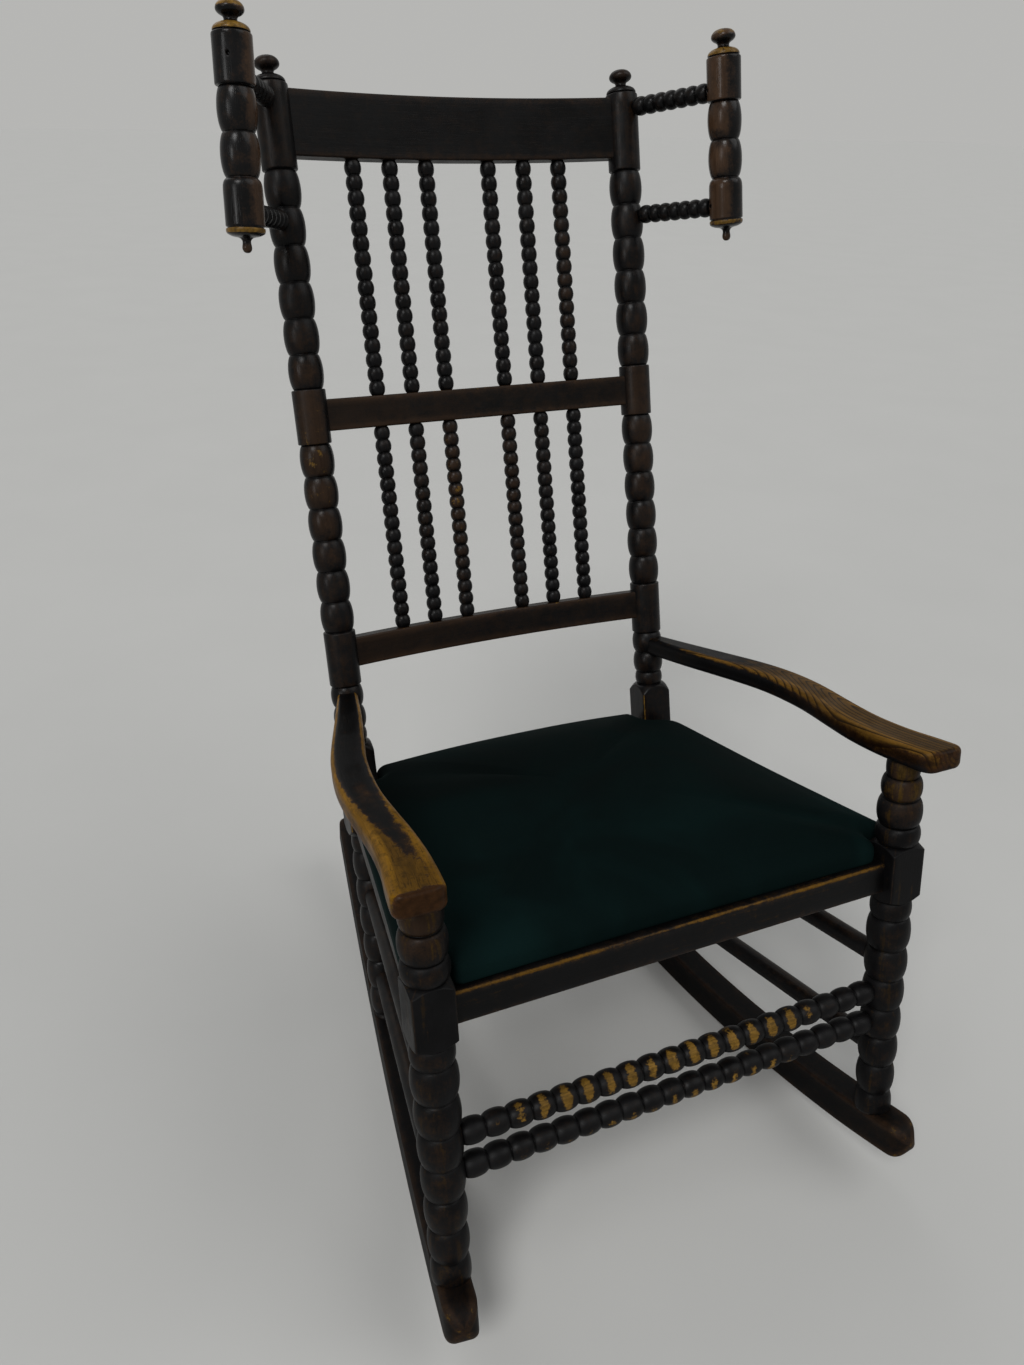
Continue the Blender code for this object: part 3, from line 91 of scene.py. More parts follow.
# Turned work: largest and smallest radii, and the heights of each turning
POST_CREST = 0.020
LEG_TAPER = (0.0237, 0.0206)
LEG_BOBBINS = 8
LEG_SHELF = 0.0211
LEG_GROOVE = 0.0156
LEG_PITCH = 0.0395
LEG_BLOCK = 0.0422
LEG_BLOCK_TOP = RAIL_TOP + 0.020
LEG_BLOCK_BOTTOM = RAIL_TOP - 0.0485
LEG_COLLAR = 0.023
LEG_COLLAR_RADIUS = 0.0222
LEG_COLLAR_NECK = 0.0186
LEG_SHOULDER = ((0.97, 0.0008), (1.06, 0.0018), (1.2, 0.0040), (math.sqrt(2), 0.0068))
LEG_STRAIGHT = 0.010
LEG_TENON = 0.009
ARM_TOP = 0.512
ARM_THICKNESS = 0.024
ARM_UNDERSIDE = ARM_TOP - ARM_THICKNESS
ARM_EDGE = 0.0062
ARM_HEART = ARM_THICKNESS / 2 - 0.003
STUMP_SHARES = (0.0, 0.20, 0.46, 0.77, 1.0)
STUMP_RADII = (0.0175, 0.0212, 0.0235, 0.0236)
STUMP_NECK = 0.0158
STUMP_DEPTH = 0.0050
BOBBIN_STEPS = 14
LEG_COLUMNS = 96
POST_COLUMNS = 80
ROD_COLUMNS = 36

# Back posts, along the post from the middle of the seat rails
POST_RADIUS = 0.0195
POST_BLOCK = 0.042
POST_BLOCK_TOP = 0.0916
POST_BLOCK_BOTTOM = -0.0326
POST_RING = 0.0173
POST_COLLAR_RADIUS = 0.0185
POST_COLLAR_NECK = 0.0160
POST_SHOULDER_NECK = 0.0165
POST_SHOULDER = ((0.95, 0.0010), (1.08, 0.0035), (1.25, 0.0080), (math.sqrt(2), 0.0130))
POST_STRAIGHT = 0.016
POST_BOBBINS = {"upper": 6, "lower": 6, "arm": 2, "foot": 8}
CREST_RAIL = (0.7973, 0.0670)
MID_RAIL = (0.4887, 0.0362)
LOWER_RAIL = (0.2052, 0.0363)
CREST_PLAIN = (0.7495, 0.8361)
MID_PLAIN = (0.4573, 0.5186)
LOWER_PLAIN = (0.16615, 0.23355)
BACK_BOW = 0.020
BACK_RAIL_THICKNESS = 0.020
BACK_RAIL_SINK = 0.010

# Spindles
SPINDLE_XS = (-0.1287, -0.0839, -0.0391, 0.0391, 0.0839, 0.1287)
SPINDLE_CREST = 0.0097
SPINDLE_GROOVE = 0.0066
SPINDLE_BOBBINS = 16
SPINDLE_TENON = 0.0042
SPINDLE_SINK = 0.004
SPINDLE_GAP = 0.0004
SPINDLE_COLUMNS = 28

# Wings, as heights of the leaning level
FINIAL_RISE = 0.026
FINIAL_RIM = 0.0030
CREST_TOP = CREST_RAIL[0] + CREST_RAIL[1] / 2
UPPER_ARM_HEIGHT = RAIL_MIDDLE + CREST_TOP * math.cos(POST_RAKE) - 0.0117
LOWER_ARM_HEIGHT = UPPER_ARM_HEIGHT - 0.120
WING_TIP = LOWER_ARM_HEIGHT - 0.0376
WING_CAP_RISE = 0.0341
WING_TOP = UPPER_ARM_HEIGHT + WING_CAP_RISE + FINIAL_RISE
# Heights of the wing post above its own tip
WING_CAP_TOP = UPPER_ARM_HEIGHT + WING_CAP_RISE - WING_TIP
WING_CAP_BOTTOM = UPPER_ARM_HEIGHT - 0.0111 - WING_TIP
WING_BLOCK_TOP = LOWER_ARM_HEIGHT + 0.0301 - WING_TIP
WING_BLOCK_BOTTOM = LOWER_ARM_HEIGHT - 0.0142 - WING_TIP
WING_SPREAD_TOP = 0.0565
WING_SPREAD_TIP = 0.0679
WING_FORWARD = 0.1308
WING_RADIUS = 0.0192
WING_GROOVE = 0.0149
WING_ARM_CREST = 0.0105
WING_ARM_GROOVE = 0.0074
WING_ARM_BOBBINS = 7
WING_ARM_ENDS = (0.0215, 0.0200)
WING_ARM_TENON = 0.0060
# The pins in the wing posts, their holes and the old nail hole
WING_PIN_RADIUS = 0.0017
WING_PIN_COLUMNS = 20
WING_PIN_LENGTH = 0.0240
WING_PIN_INSET = 0.0127
WING_PIN_MOUTH = 0.0144
HOLE_DEPTH = 0.0032
NAIL_RISE = 0.0133

# Stretchers
FRONT_STRETCHERS = {"upper": 0.203, "lower": 0.162}
SIDE_STRETCHERS = {"upper": 0.2385, "lower": 0.1175}
BACK_STRETCHER = 0.180
FRONT_CREST = 0.0133
FRONT_GROOVE = 0.0089
FRONT_BOBBINS = 20
FRONT_TENON = 0.0085
FRONT_GAP = 0.0003
FRONT_COLUMNS = 56
PLAIN_RADIUS = 0.01135
PLAIN_SWELL = 0.0006
PLAIN_SINK = 0.012
TENON_SINK = 0.010


def moved(x, y, z):
    """A 4x4 shift."""
    place = np.eye(4)
    place[:3, 3] = x, y, z
    return place


def leaned(angle):
    """A 4x4 turn about X that leans +Z back towards +Y."""
    place = np.eye(4)
    place[1, 1] = place[2, 2] = math.cos(angle)
    place[1, 2] = math.sin(angle)
    place[2, 1] = -math.sin(angle)
    return place


FLOOR = moved(0, -FOOTPRINT_MIDDLE, 0)
LEVEL = FLOOR @ leaned(RECLINE)
BACK = LEVEL @ moved(0, POST_Y, RAIL_MIDDLE) @ leaned(POST_RAKE)


def unit(vectors):
    """Vectors made one metre long."""
    return vectors / np.linalg.norm(vectors, axis=-1, keepdims=True)


def along(start, end, top=(0, 0, 1)):
    """A 4x4 placing at start whose Z runs to end and whose Y is as near top as it can be."""
    ahead = unit(np.subtract(end, start))
    across = unit(np.cross(top, ahead))
    place = np.eye(4)
    place[:3, :3] = np.column_stack((across, np.cross(ahead, across), ahead))
    place[:3, 3] = start
    return place


def at_place(place, points):
    """Points carried by a 4x4 placing."""
    return np.asarray(points) @ place[:3, :3].T + place[:3, 3]


def post_point(side, height):
    """The point of a back post's axis at a height of the leaning level."""
    return np.array((side * POST_X, POST_Y + (height - RAIL_MIDDLE) * math.tan(POST_RAKE), height))


def wing_point(side, height):
    """The point of a wing post's axis at a height of the leaning level."""
    share = (height - WING_TIP) / (WING_TOP - WING_TIP)
    spread = WING_SPREAD_TIP + share * (WING_SPREAD_TOP - WING_SPREAD_TIP)
    y = post_point(side, UPPER_ARM_HEIGHT)[1] - WING_FORWARD
    return np.array((side * (POST_X + spread), y, height))


def bow(x):
    """How far the back is bowed behind the posts: an arc through both, BACK_BOW deep."""
    radius = (POST_X**2 + BACK_BOW**2) / (2 * BACK_BOW)
    return np.sqrt(radius**2 - np.square(x)) - (radius - BACK_BOW)


def smooth_step(low, high, value):
    """0 below low, 1 above high, and 3t^2 - 2t^3 between."""
    t = np.clip((value - low) / (high - low), 0, 1)
    return t * t * (3 - 2 * t)


def smooth_line(points, steps):
    """A smooth line: each span is the cubic whose end slopes are half the step between its neighbours."""
    points = np.asarray(points, float)
    padded = np.vstack((2 * points[0] - points[1], points, 2 * points[-1] - points[-2]))
    p0, p1, p2, p3 = (padded[k : len(padded) - 3 + k, None, :] for k in range(4))
    t = np.linspace(0, 1, steps, endpoint=False)[None, :, None]
    bend = 2 * p0 - 5 * p1 + 4 * p2 - p3 + t * (3 * p1 - p0 - 3 * p2 + p3)
    line = p1 + t / 2 * (p2 - p0 + t * bend)
    return np.vstack((line.reshape(-1, points.shape[1]), points[-1]))


def bobbin_row(top, bottom, count, crest, groove, roundness=0.62, steps=BOBBIN_STEPS):
    """Radius, height and crest share of a row of bobbins.

    Over each bobbin t runs from 0 to 1: radius = groove + (crest - groove) * (1 - (2t - 1)^2)^roundness.
    A roundness of a half gives an ellipse, and more a bobbin that falls sooner towards its grooves.
    """
    turn = np.tile(np.linspace(0, math.pi, steps, endpoint=False), count)
    t = np.append((1 - np.cos(turn)) / 2, 0)
    whole = np.append(np.repeat(np.arange(count), steps), count)
    swell = np.clip(1 - (2 * t - 1) ** 2, 0, 1) ** roundness
    height = top + (bottom - top) * (whole + t) / count
    return np.column_stack((groove + (crest - groove) * swell, height, swell))


def plain(top, bottom, radius, rounding=0.0016, steps=10):
    """A plain length whose two rims are quarter rounds."""
    turn = np.linspace(0, math.pi / 2, 5)
    rim = radius - rounding * (1 - np.sin(turn))
    drop = rounding * (1 - np.cos(turn))
    middle = np.linspace(top - rounding, bottom + rounding, steps)[1:-1]
    radii = np.concatenate((rim, np.full(len(middle), radius), rim[::-1]))
    heights = np.concatenate((top - drop, middle, (bottom + drop)[::-1]))
    return np.column_stack((radii, heights, np.ones(len(radii))))


def drawn(points, steps=6):
    """A smooth profile through points of radius and height, its crest share following the radius."""
    line = smooth_line(points, steps)
    widest = max(line[:, 0].max(), 1e-6)
    radius = np.maximum(line[:, 0], 1e-5)
    return np.column_stack((radius, line[:, 1], np.clip(line[:, 0] / widest, 0, 1)))


def joined(*parts):
    """Profiles one after another, without points that repeat."""
    line = np.vstack(parts)
    kept = np.append(True, np.linalg.norm(np.diff(line[:, :2], axis=0), axis=1) > 1e-6)
    return line[kept]


def tenoned(row, radius, sink, gap=0.0005):
    """A row of bobbins with a plain round end beyond both of its ends, where it goes into what holds it."""
    top, bottom = row[0, 1], row[-1, 1]
    upper = np.array(((radius, top + sink, 0), (radius, top + gap, 0)))
    lower = np.array(((radius, bottom - gap, 0), (radius, bottom - sink, 0)))
    return joined(upper, row, lower)


def square_length(top, bottom, half, neck, shoulder, straight, steps):
    """Profiles of a length left square, drawn out to its corners, with a shoulder at both of its ends.

    shoulder holds radii, as shares of the half side, and how far each is from the end.
    """
    slope = [(neck, 0)] + [(half * share, drop) for share, drop in shoulder]
    wide = slope[-1][0]
    upper = drawn([(radius, top - drop) for radius, drop in slope], 4)
    middle = drawn([(wide, top - straight), (wide, bottom + straight)], steps)
    lower = drawn([(radius, bottom + drop) for radius, drop in reversed(slope)], 4)
    return [upper, middle, lower]


class Surface:
    """A grid of points that closes on itself across, with what its finish is painted by.

    at is where each point is, out the direction that it faces, own its place in the piece's own frame with
    Z along the grain, and crest how far it stands out of the grooves, from 0 to 1.
    """

    def __init__(self, own, place, outward, crest):
        self.own = own
        self.at = at_place(place, own)
        self.out = outward @ place[:3, :3].T
        self.crest = np.broadcast_to(crest, own.shape[:2])
        self.rubbed = np.zeros(own.shape[:2])
        self.bare = np.zeros(own.shape[:2])

    def facing(self, direction, width=60):
        """1 where the surface faces a direction of the leaning level, falling to 0 at an angle of width."""
        aim = LEVEL[:3, :3] @ unit(np.asarray(direction, float))
        return smooth_step(math.cos(math.radians(width)), 1, self.out @ aim)


def with_middle(values):
    """The grid's values followed by those of the two end caps' middle points."""
    ends = np.stack((values[0].mean(axis=0), values[-1].mean(axis=0)))
    return np.concatenate((values.reshape(-1, *values.shape[2:]), ends))


def faces_of(points, rows, columns):
    """Quads between the rows and a fan from each end row to its middle point, all facing outwards."""
    index = np.arange(rows * columns).reshape(rows, columns)
    beside = np.roll(index, -1, axis=1)
    quads = np.stack((index[:-1], index[1:], beside[1:], beside[:-1]), axis=-1).reshape(-1, 4)
    top = np.stack((np.full(columns, rows * columns), index[0], beside[0]), axis=-1)
    foot = np.stack((np.full(columns, rows * columns + 1), beside[-1], index[-1]), axis=-1)
    fans = np.concatenate((top, foot))
    halves = np.concatenate((quads[:, [0, 1, 2]], quads[:, [0, 2, 3]], fans))
    if np.linalg.det(points[halves] - points.mean(axis=0)).sum() < 0:
        return quads[:, ::-1], fans[:, ::-1]
    return quads, fans


def skin(name, surfaces, shift):
    """One mesh of closed surfaces, with what their finish is painted by as attributes."""
    points = [with_middle(surface.at) for surface in surfaces]
    starts = np.cumsum([0] + [len(part) for part in points])
    faces = [faces_of(part, *surface.at.shape[:2]) for part, surface in zip(points, surfaces)]
    quads = np.concatenate([four + start for (four, _), start in zip(faces, starts)])
    fans = np.concatenate([three + start for (_, three), start in zip(faces, starts)])
    mesh = bpy.data.meshes.new(name)
    mesh.from_pydata(np.concatenate(points).tolist(), [], quads.tolist() + fans.tolist())
    mesh.shade_smooth()
    for label in ("rubbed", "bare", "crest"):
        values = np.concatenate([with_middle(getattr(surface, label)) for surface in surfaces])
        layer = mesh.attributes.new(label, "FLOAT", "POINT")
        layer.data.foreach_set("value", values.astype(np.float32))
    grain = np.concatenate([with_middle(surface.own) for surface in surfaces]) + shift
    layer = mesh.attributes.new("grain", "FLOAT_VECTOR", "POINT")
    layer.data.foreach_set("vector", grain.astype(np.float32).ravel())
    return mesh


def grain_shift(name):
    """A shift of the grain for each piece, from the letters of its name, so that no two look alike."""
    total = sum((place + 1) * ord(letter) for place, letter in enumerate(name))
    return np.array((total % 17 * 0.13, total % 23 * 0.11, total % 29 * 0.37))


def fit_piece(name, mesh, nodes, body, finish):
    """Adds a piece that rides on a body and stands for CAD nodes."""
    mesh.materials.append(finish)
    piece = bpy.data.objects.new(name, mesh)
    bpy.context.scene.collection.objects.link(piece)
    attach(piece, body)
    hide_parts(*nodes)
    return piece


def dress(surface, node, word, finish, shift=None):
    """Makes a surface the frame's piece that stands for one CAD node."""
    name = node + "_" + word
    mesh = skin(name, [surface], grain_shift(node) if shift is None else shift)
    return fit_piece(name, mesh, [node], FRAME_BODY, finish)


def round_angles(columns, stock=None, focus=()):
    """Angles round a turned piece: even, drawn towards the corners of a square, or with more near focus."""
    whole = 2 * math.pi
    around = np.linspace(0, whole, columns, endpoint=False)
    if stock:
        around = around + 0.08 * np.sin(4 * around)
    for spot in focus:
        near = spot + np.linspace(-0.16, 0.16, 27)
        away = np.abs((around - spot + math.pi) % whole - math.pi) > 0.175
        around = np.sort(np.concatenate((around[away], near)) % whole)
    return around


def turning(profile, place, columns, stock=None, foot=None, focus=()):
    """The surface of a turned piece: the profile carried round its axis.

    stock is (half side, bottom, top) of a length left square: there the radius is the smaller of the
    profile's and of the square's in that direction, with soft corners. foot gives the height at which a
    line beside the axis meets what the piece stands on, and the lowest turnings are drawn to it.
    """
    around = round_angles(columns, stock, focus)
    columns = len(around)
    radius = np.repeat(profile[:, :1], columns, axis=1)
    height = np.repeat(profile[:, 1:2], columns, axis=1)
    crest = np.repeat(profile[:, 2:], columns, axis=1)
    cosine, sine = np.cos(around), np.sin(around)
    if stock:
        half, bottom, top = stock
        corner = 18
        square = half / (np.abs(cosine) ** corner + np.abs(sine) ** corner) ** (1 / corner)
        inside = (height <= top + 1e-6) & (height >= bottom - 1e-6)
        sharp = np.exp(-(((np.abs(cosine) - np.abs(sine)) / 0.10) ** 2))
        crest = np.where(inside, 0.45 + 0.55 * sharp, crest)
        radius = np.where(inside, np.minimum(radius, square), radius)
    if foot:
        low = profile[:, 1].min()
        start = low + LEG_PITCH * FOOT_BOBBINS
        ground = foot(radius[-1] * cosine, radius[-1] * sine)
        share = np.clip((start - height) / (start - low), 0, 1)
        height = np.where(height < start, start + (ground - start) * share, height)
        lowered = height < start
        radius = np.where(lowered, np.interp(-height, -profile[:, 1], profile[:, 0]), radius)
        crest = np.where(lowered, np.interp(-height, -profile[:, 1], profile[:, 2]), crest)
    own = np.stack((radius * cosine, radius * sine, height), axis=-1)
    slope = np.gradient(radius, axis=0) / np.minimum(np.gradient(height, axis=0), -1e-6)
    flat = np.broadcast_to(np.stack((cosine, sine), axis=-1), (*slope.shape, 2))
    outward = unit(np.concatenate((flat, -slope[..., None]), axis=-1))
    return Surface(own, place, outward, crest)


def section_template(arc_steps, wide_steps, tall_steps):
    """Corner signs, cosines and sines of a rounded rectangle: arcs at its corners, straight between."""
    signs = np.array(((1, 1), (-1, 1), (-1, -1), (1, -1)), float)
    parts = []
    for corner in range(4):
        turn = (corner + np.linspace(0, 1, arc_steps + 1)) * math.pi / 2
        here = np.repeat(signs[corner][None], len(turn), axis=0)
        parts.append(np.column_stack((here, np.cos(turn), np.sin(turn))))
        steps = wide_steps if corner % 2 == 0 else tall_steps
        share = np.linspace(0, 1, steps + 1)[1:-1, None]
        run = signs[corner] + share * (signs[(corner + 1) % 4] - signs[corner])
        aim = (corner + 1) * math.pi / 2
        ends = np.broadcast_to((math.cos(aim), math.sin(aim)), run.shape)
        parts.append(np.column_stack((run, ends)))
    return np.vstack(parts)


SECTION = section_template(6, 18, 12)


def bar(centres, across, up, half_wide, half_tall, rounding, place, grain):
    """The surface of a sawn piece: a rounded rectangle carried along a path.

    Point = centre + across * (sign * (half width - rounding) + rounding * cosine) + up * (the same with the
    half height and sine). The crest share falls off from the long edges over a few millimetres.
    """
    sign_x, sign_y, cosine, sine = SECTION.T
    sizes = (half_wide, half_tall, rounding)
    half_wide, half_tall, rounding = (np.broadcast_to(size, len(centres))[:, None] for size in sizes)
    x = sign_x * (half_wide - rounding) + rounding * cosine
    y = sign_y * (half_tall - rounding) + rounding * sine
    own = centres[:, None] + across[:, None] * x[..., None] + up[:, None] * y[..., None]
    outward = across[:, None] * cosine[None, :, None] + up[:, None] * sine[None, :, None]
    away = np.maximum((1 - np.abs(sign_x)) * half_wide, (1 - np.abs(sign_y)) * half_tall)
    surface = Surface(own, place, outward, np.exp(-away / 0.0035))
    surface.across = x / np.maximum(half_wide, 1e-6)
    surface.tall = y / np.maximum(half_tall, 1e-6)
    surface.own = np.stack((x, y, np.broadcast_to(np.asarray(grain)[:, None], x.shape)), axis=-1)
    return surface


def straight_bar(start, end, half_wide, half_tall, rounding, rows=90):
    """A straight rail of the leaning level, rounded at its edges, from start to end."""
    place = LEVEL @ along(start, end)
    length = np.linalg.norm(np.subtract(end, start))
    run = np.linspace(0, length, rows)
    centres = np.column_stack((0 * run, 0 * run, run))
    across = np.broadcast_to((1.0, 0, 0), centres.shape)
    up = np.broadcast_to((0, 1.0, 0), centres.shape)
    return bar(centres, across, up, half_wide, half_tall, rounding, place, run)


# Shader groups


def node_group(name, inputs, outputs):
    """An empty shader group. inputs gives each input's default, None for a vector; outputs are floats."""
    group = bpy.data.node_groups.new(name, "ShaderNodeTree")
    for label, default in inputs.items():
        kind = "NodeSocketVector" if default is None else "NodeSocketFloat"
        socket = group.interface.new_socket(label, in_out="INPUT", socket_type=kind)
        if default is not None:
            socket.default_value = default
    for label in outputs:
        group.interface.new_socket(label, in_out="OUTPUT", socket_type="NodeSocketFloat")
    return group, group.nodes.new("NodeGroupInput"), group.nodes.new("NodeGroupOutput")


class Wiring:
    """Short ways to add and join nodes of one tree."""

    def __init__(self, tree):
        self.tree = tree

    def put(self, kind, **settings):
        node = self.tree.nodes.new("ShaderNode" + kind)
        for key, value in settings.items():
            setattr(node, key, value)
        return node

    def feed(self, socket, value):
        if isinstance(value, bpy.types.NodeSocket):
            self.tree.links.new(value, socket)
        elif value is not None:
            socket.default_value = value

    def maths(self, operation, first, second=None, third=None):
        node = self.put("Math", operation=operation)
        for socket, value in zip(node.inputs, (first, second, third)):
            self.feed(socket, value)
        return node.outputs[0]

    def share(self, value, factor):
        return self.maths("MULTIPLY", value, factor)

    def scaled(self, vector, factors):
        node = self.put("VectorMath", operation="MULTIPLY")
        self.feed(node.inputs[0], vector)
        self.feed(node.inputs[1], factors)
        return node.outputs[0]

    def noise(self, vector, scale, detail=3.0, roughness=0.55, distortion=0.0):
        node = self.put("TexNoise")
        labels = ("Vector", "Scale", "Detail", "Roughness", "Distortion")
        for label, entry in zip(labels, (vector, scale, detail, roughness, distortion)):
            self.feed(node.inputs[label], entry)
        return node.outputs["Fac"]

    def spread(self, value, low, high, to_low=0.0, to_high=1.0, kind="SMOOTHSTEP"):
        node = self.put("MapRange", interpolation_type=kind)
        labels = ("Value", "From Min", "From Max", "To Min", "To Max")
        for label, entry in zip(labels, (value, low, high, to_low, to_high)):
            self.feed(node.inputs[label], entry)
        return node.outputs["Result"]

    def mixed(self, share, first, second):
        """first where share is 0 and second where it is 1, each a colour of three parts or a socket."""
        return self.blended("MIX", share, first, second)

    def times(self, colour, share):
        return self.blended("MULTIPLY", 1, colour, share)

    def blended(self, kind, share, first, second):
        node = self.put("Mix", data_type="RGBA", blend_type=kind)
        self.feed(node.inputs["Factor"], share)
        for socket, value in ((node.inputs[6], first), (node.inputs[7], second)):
            self.feed(socket, (*value, 1) if isinstance(value, tuple) else value)
        return node.outputs[2]

    def part(self, vector, axis):
        node = self.put("SeparateXYZ")
        self.feed(node.inputs[0], vector)
        return node.outputs[axis]

    def turned(self, vector, shift, turn):
        node = self.put("Mapping")
        for label, entry in (("Vector", vector), ("Location", shift), ("Rotation", turn)):
            self.feed(node.inputs[label], entry)
        return node.outputs[0]

    def bump(self, shader, height, strength, distance):
        node = self.put("Bump")
        for label, entry in (("Strength", strength), ("Distance", distance), ("Height", height)):
            self.feed(node.inputs[label], entry)
        self.feed(shader.inputs["Normal"], node.outputs[0])

    def attribute(self, name, output="Fac"):
        return self.put("Attribute", attribute_name=name).outputs[output]

    def group(self, tree, **inputs):
        node = self.put("Group")
        node.node_tree = tree
        for label, value in inputs.items():
            self.feed(node.inputs[label], value)
        return node


def fibre_group():
    """Wood fibres along Z: long streaks, thin dark lines of growth rings about the Z axis, and short pores.

    Arch is a phase that narrows the rings along the wood, so that a sawn face shows nested arches.
    """
    inputs = {"Vector": None, "Fineness": 160.0, "Stretch": 0.05, "Rings": 90.0, "Thin": 0.5, "Arch": 0.0}
    tree, given, made = node_group("wood_fibres", inputs, ("Streak", "Ring", "Pore"))
    w = Wiring(tree)
    squeeze = w.put("CombineXYZ")
    squeeze.inputs[0].default_value = 1
    squeeze.inputs[1].default_value = 1
    w.feed(squeeze.inputs[2], given.outputs["Stretch"])
    long = w.scaled(given.outputs["Vector"], squeeze.outputs[0])
    streak = w.noise(long, given.outputs["Fineness"], 4.0, 0.65)
    w.feed(made.inputs["Streak"], w.spread(streak, 0.28, 0.72, kind="LINEAR"))
    rings = w.put("TexWave", wave_type="RINGS", rings_direction="Z", wave_profile="SAW")
    w.feed(rings.inputs["Vector"], long)
    w.feed(rings.inputs["Scale"], given.outputs["Rings"])
    w.feed(rings.inputs["Phase Offset"], given.outputs["Arch"])
    rings.inputs["Distortion"].default_value = 1.6
    rings.inputs["Detail"].default_value = 2.0
    rings.inputs["Detail Scale"].default_value = 1.0
    w.feed(made.inputs["Ring"], w.spread(rings.outputs["Fac"], given.outputs["Thin"], 0.96))
    pore = w.noise(long, w.share(given.outputs["Fineness"], 7.0), 1.0, 0.5)
    w.feed(made.inputs["Pore"], w.spread(pore, 0.60, 0.72))
    return tree


def worn_group():
    """Where a finish is worn through: Amount against mottling and fibres, so that patches are ragged."""
    inputs = {"Amount": 0.0, "Vector": None, "Streak": 0.5, "Ragged": 0.7, "Soft": 0.1, "Fibrous": 0.35}
    tree, given, made = node_group("worn_through", inputs, ("Mask",))
    w = Wiring(tree)
    broad = w.noise(given.outputs["Vector"], 95.0, 5.0, 0.62)
    fine = w.noise(given.outputs["Vector"], 520.0, 3.0, 0.6)
    blotch = w.maths("ADD", w.share(broad, 0.64), w.share(fine, 0.36))
    strength = w.share(given.outputs["Ragged"], 2.0)
    blotch = w.share(w.maths("SUBTRACT", blotch, 0.5), strength)
    fibres = w.share(w.maths("SUBTRACT", given.outputs["Streak"], 0.5), given.outputs["Fibrous"])
    edge = w.maths("ADD", w.maths("ADD", 0.5, blotch), fibres)
    level = w.maths("SUBTRACT", given.outputs["Amount"], w.maths("MAXIMUM", edge, 0.08))
    low = w.share(given.outputs["Soft"], -1.0)
    w.feed(made.inputs["Mask"], w.spread(level, low, given.outputs["Soft"]))
    return tree


def shared_group(name, build):
    """A shader group that is built once."""
    return bpy.data.node_groups.get(name) or build()


def principled(name):
    """A new material with its Principled shader and its wiring."""
    finish = bpy.data.materials.new(name)
    finish.use_nodes = True
    return finish, Wiring(finish.node_tree), finish.node_tree.nodes["Principled BSDF"]


def shaded(colour, share):
    """A colour made darker or lighter by a share."""
    return tuple(share * part for part in colour)


QUIET_GRAIN = {"Fineness": 150.0, "Rings": 90.0, "Thin": 0.5}
FINE_GRAIN = {**QUIET_GRAIN, "Fineness": 190.0}
ARM_GRAIN = {"Fineness": 150.0, "Rings": 64.0, "Thin": 0.52}

# What every wood starts from. brown and gold are a colour of ChairFinishes and how much lighter it is.
# rings is how dark the growth rings are, turn the shift and turn of the grain, gloss the least and greatest
# roughness, edge the values of the bare patches, soil how dirty the bare wood is, and arch the places along
# the wood where its arches begin and end, with the phases there.
COMMON_WOOD = {
    "brown": ("brown", 1.0),
    "gold": ("gold", 1.0),
    "rings": 0.25,
    "turn": ((0.0, 0.0, 0.0), (0.0, 0.0, 0.0)),
    "gloss": (0.34, 0.50),
    "grain": QUIET_GRAIN,
    "edge": {"Ragged": 0.8, "Soft": 0.10, "Fibrous": 0.35},
    "soil": 1.0,
    "specular": 0.11,
    "arch": None,
}
WOODS = {
    "turned_ebony": {"gloss": (0.26, 0.44)},
    "stretcher_ebony": {"gloss": (0.36, 0.54)},
    "rail_wood": {"gloss": (0.36, 0.50), "grain": FINE_GRAIN},
    # The wings keep more of their polish
    "wing_ebony": {"brown": ("brown", 2.2), "gloss": (0.17, 0.30), "specular": 0.15},
    # The legs are duller, and worn along the fibres
    "leg_ebony": {
        "gold": ("gold", 0.36),
        "gloss": (0.36, 0.54),
        "edge": {"Ragged": 0.55, "Soft": 0.22, "Fibrous": 1.3},
        "specular": 0.08,
    },
    # The front seat rail, whose edge is worn to an orange line
    "worn_rail_wood": {
        "gold": ("arm_gold", 0.72),
        "gloss": (0.36, 0.50),
        "edge": {"Ragged": 0.7, "Soft": 0.30, "Fibrous": 0.8},
        "soil": 0.7,
    },
    # The rockers are dull from the floor's dust
    "rocker_wood": {"gold": ("gold", 0.6), "gloss": (0.50, 0.64), "grain": FINE_GRAIN, "specular": 0.07},
    # The left arm's bare wood is amber, with quiet grain
    "left_arm_wood": {
        "brown": ("arm_brown", 1.0),
        "gold": ("arm_gold", 1.0),
        "rings": 0.22,
        "turn": ((0.004, 0.030, 0.0), (0.02, 0.015, 0.0)),
        "gloss": (0.30, 0.46),
        "specular": 0.06,
    },
    # The right arm's board was sawn near the heart: straight lines in front, and nested arches behind
    "right_arm_wood": {
        "brown": ("arm_brown", 0.50),
        "gold": ("arm_amber", 1.0),
        "rings": 0.97,
        "turn": ((-0.0045, -ARM_HEART, 0.0), (0.0, 0.02, 0.0)),
        "gloss": (0.30, 0.46),
        "grain": ARM_GRAIN,
        "edge": {"Ragged": 0.6, "Soft": 0.26, "Fibrous": 0.5},
        "soil": 0.4,
        "specular": 0.06,
        "arch": (-0.235, -0.010, 0.0, 70.0),
    },
}
# Where the film is rubbed thin
RUBBED_EDGE = {"Ragged": 0.75, "Soft": 0.34}
# Stains of the bare wood: where each begins and where it is full, its greatest share, and how dark it is
STAINS = ((0.42, 0.70, 0.45, 0.38), (0.45, 0.68, 0.70, 0.22), (0.66, 0.72, 0.85, 0.05))


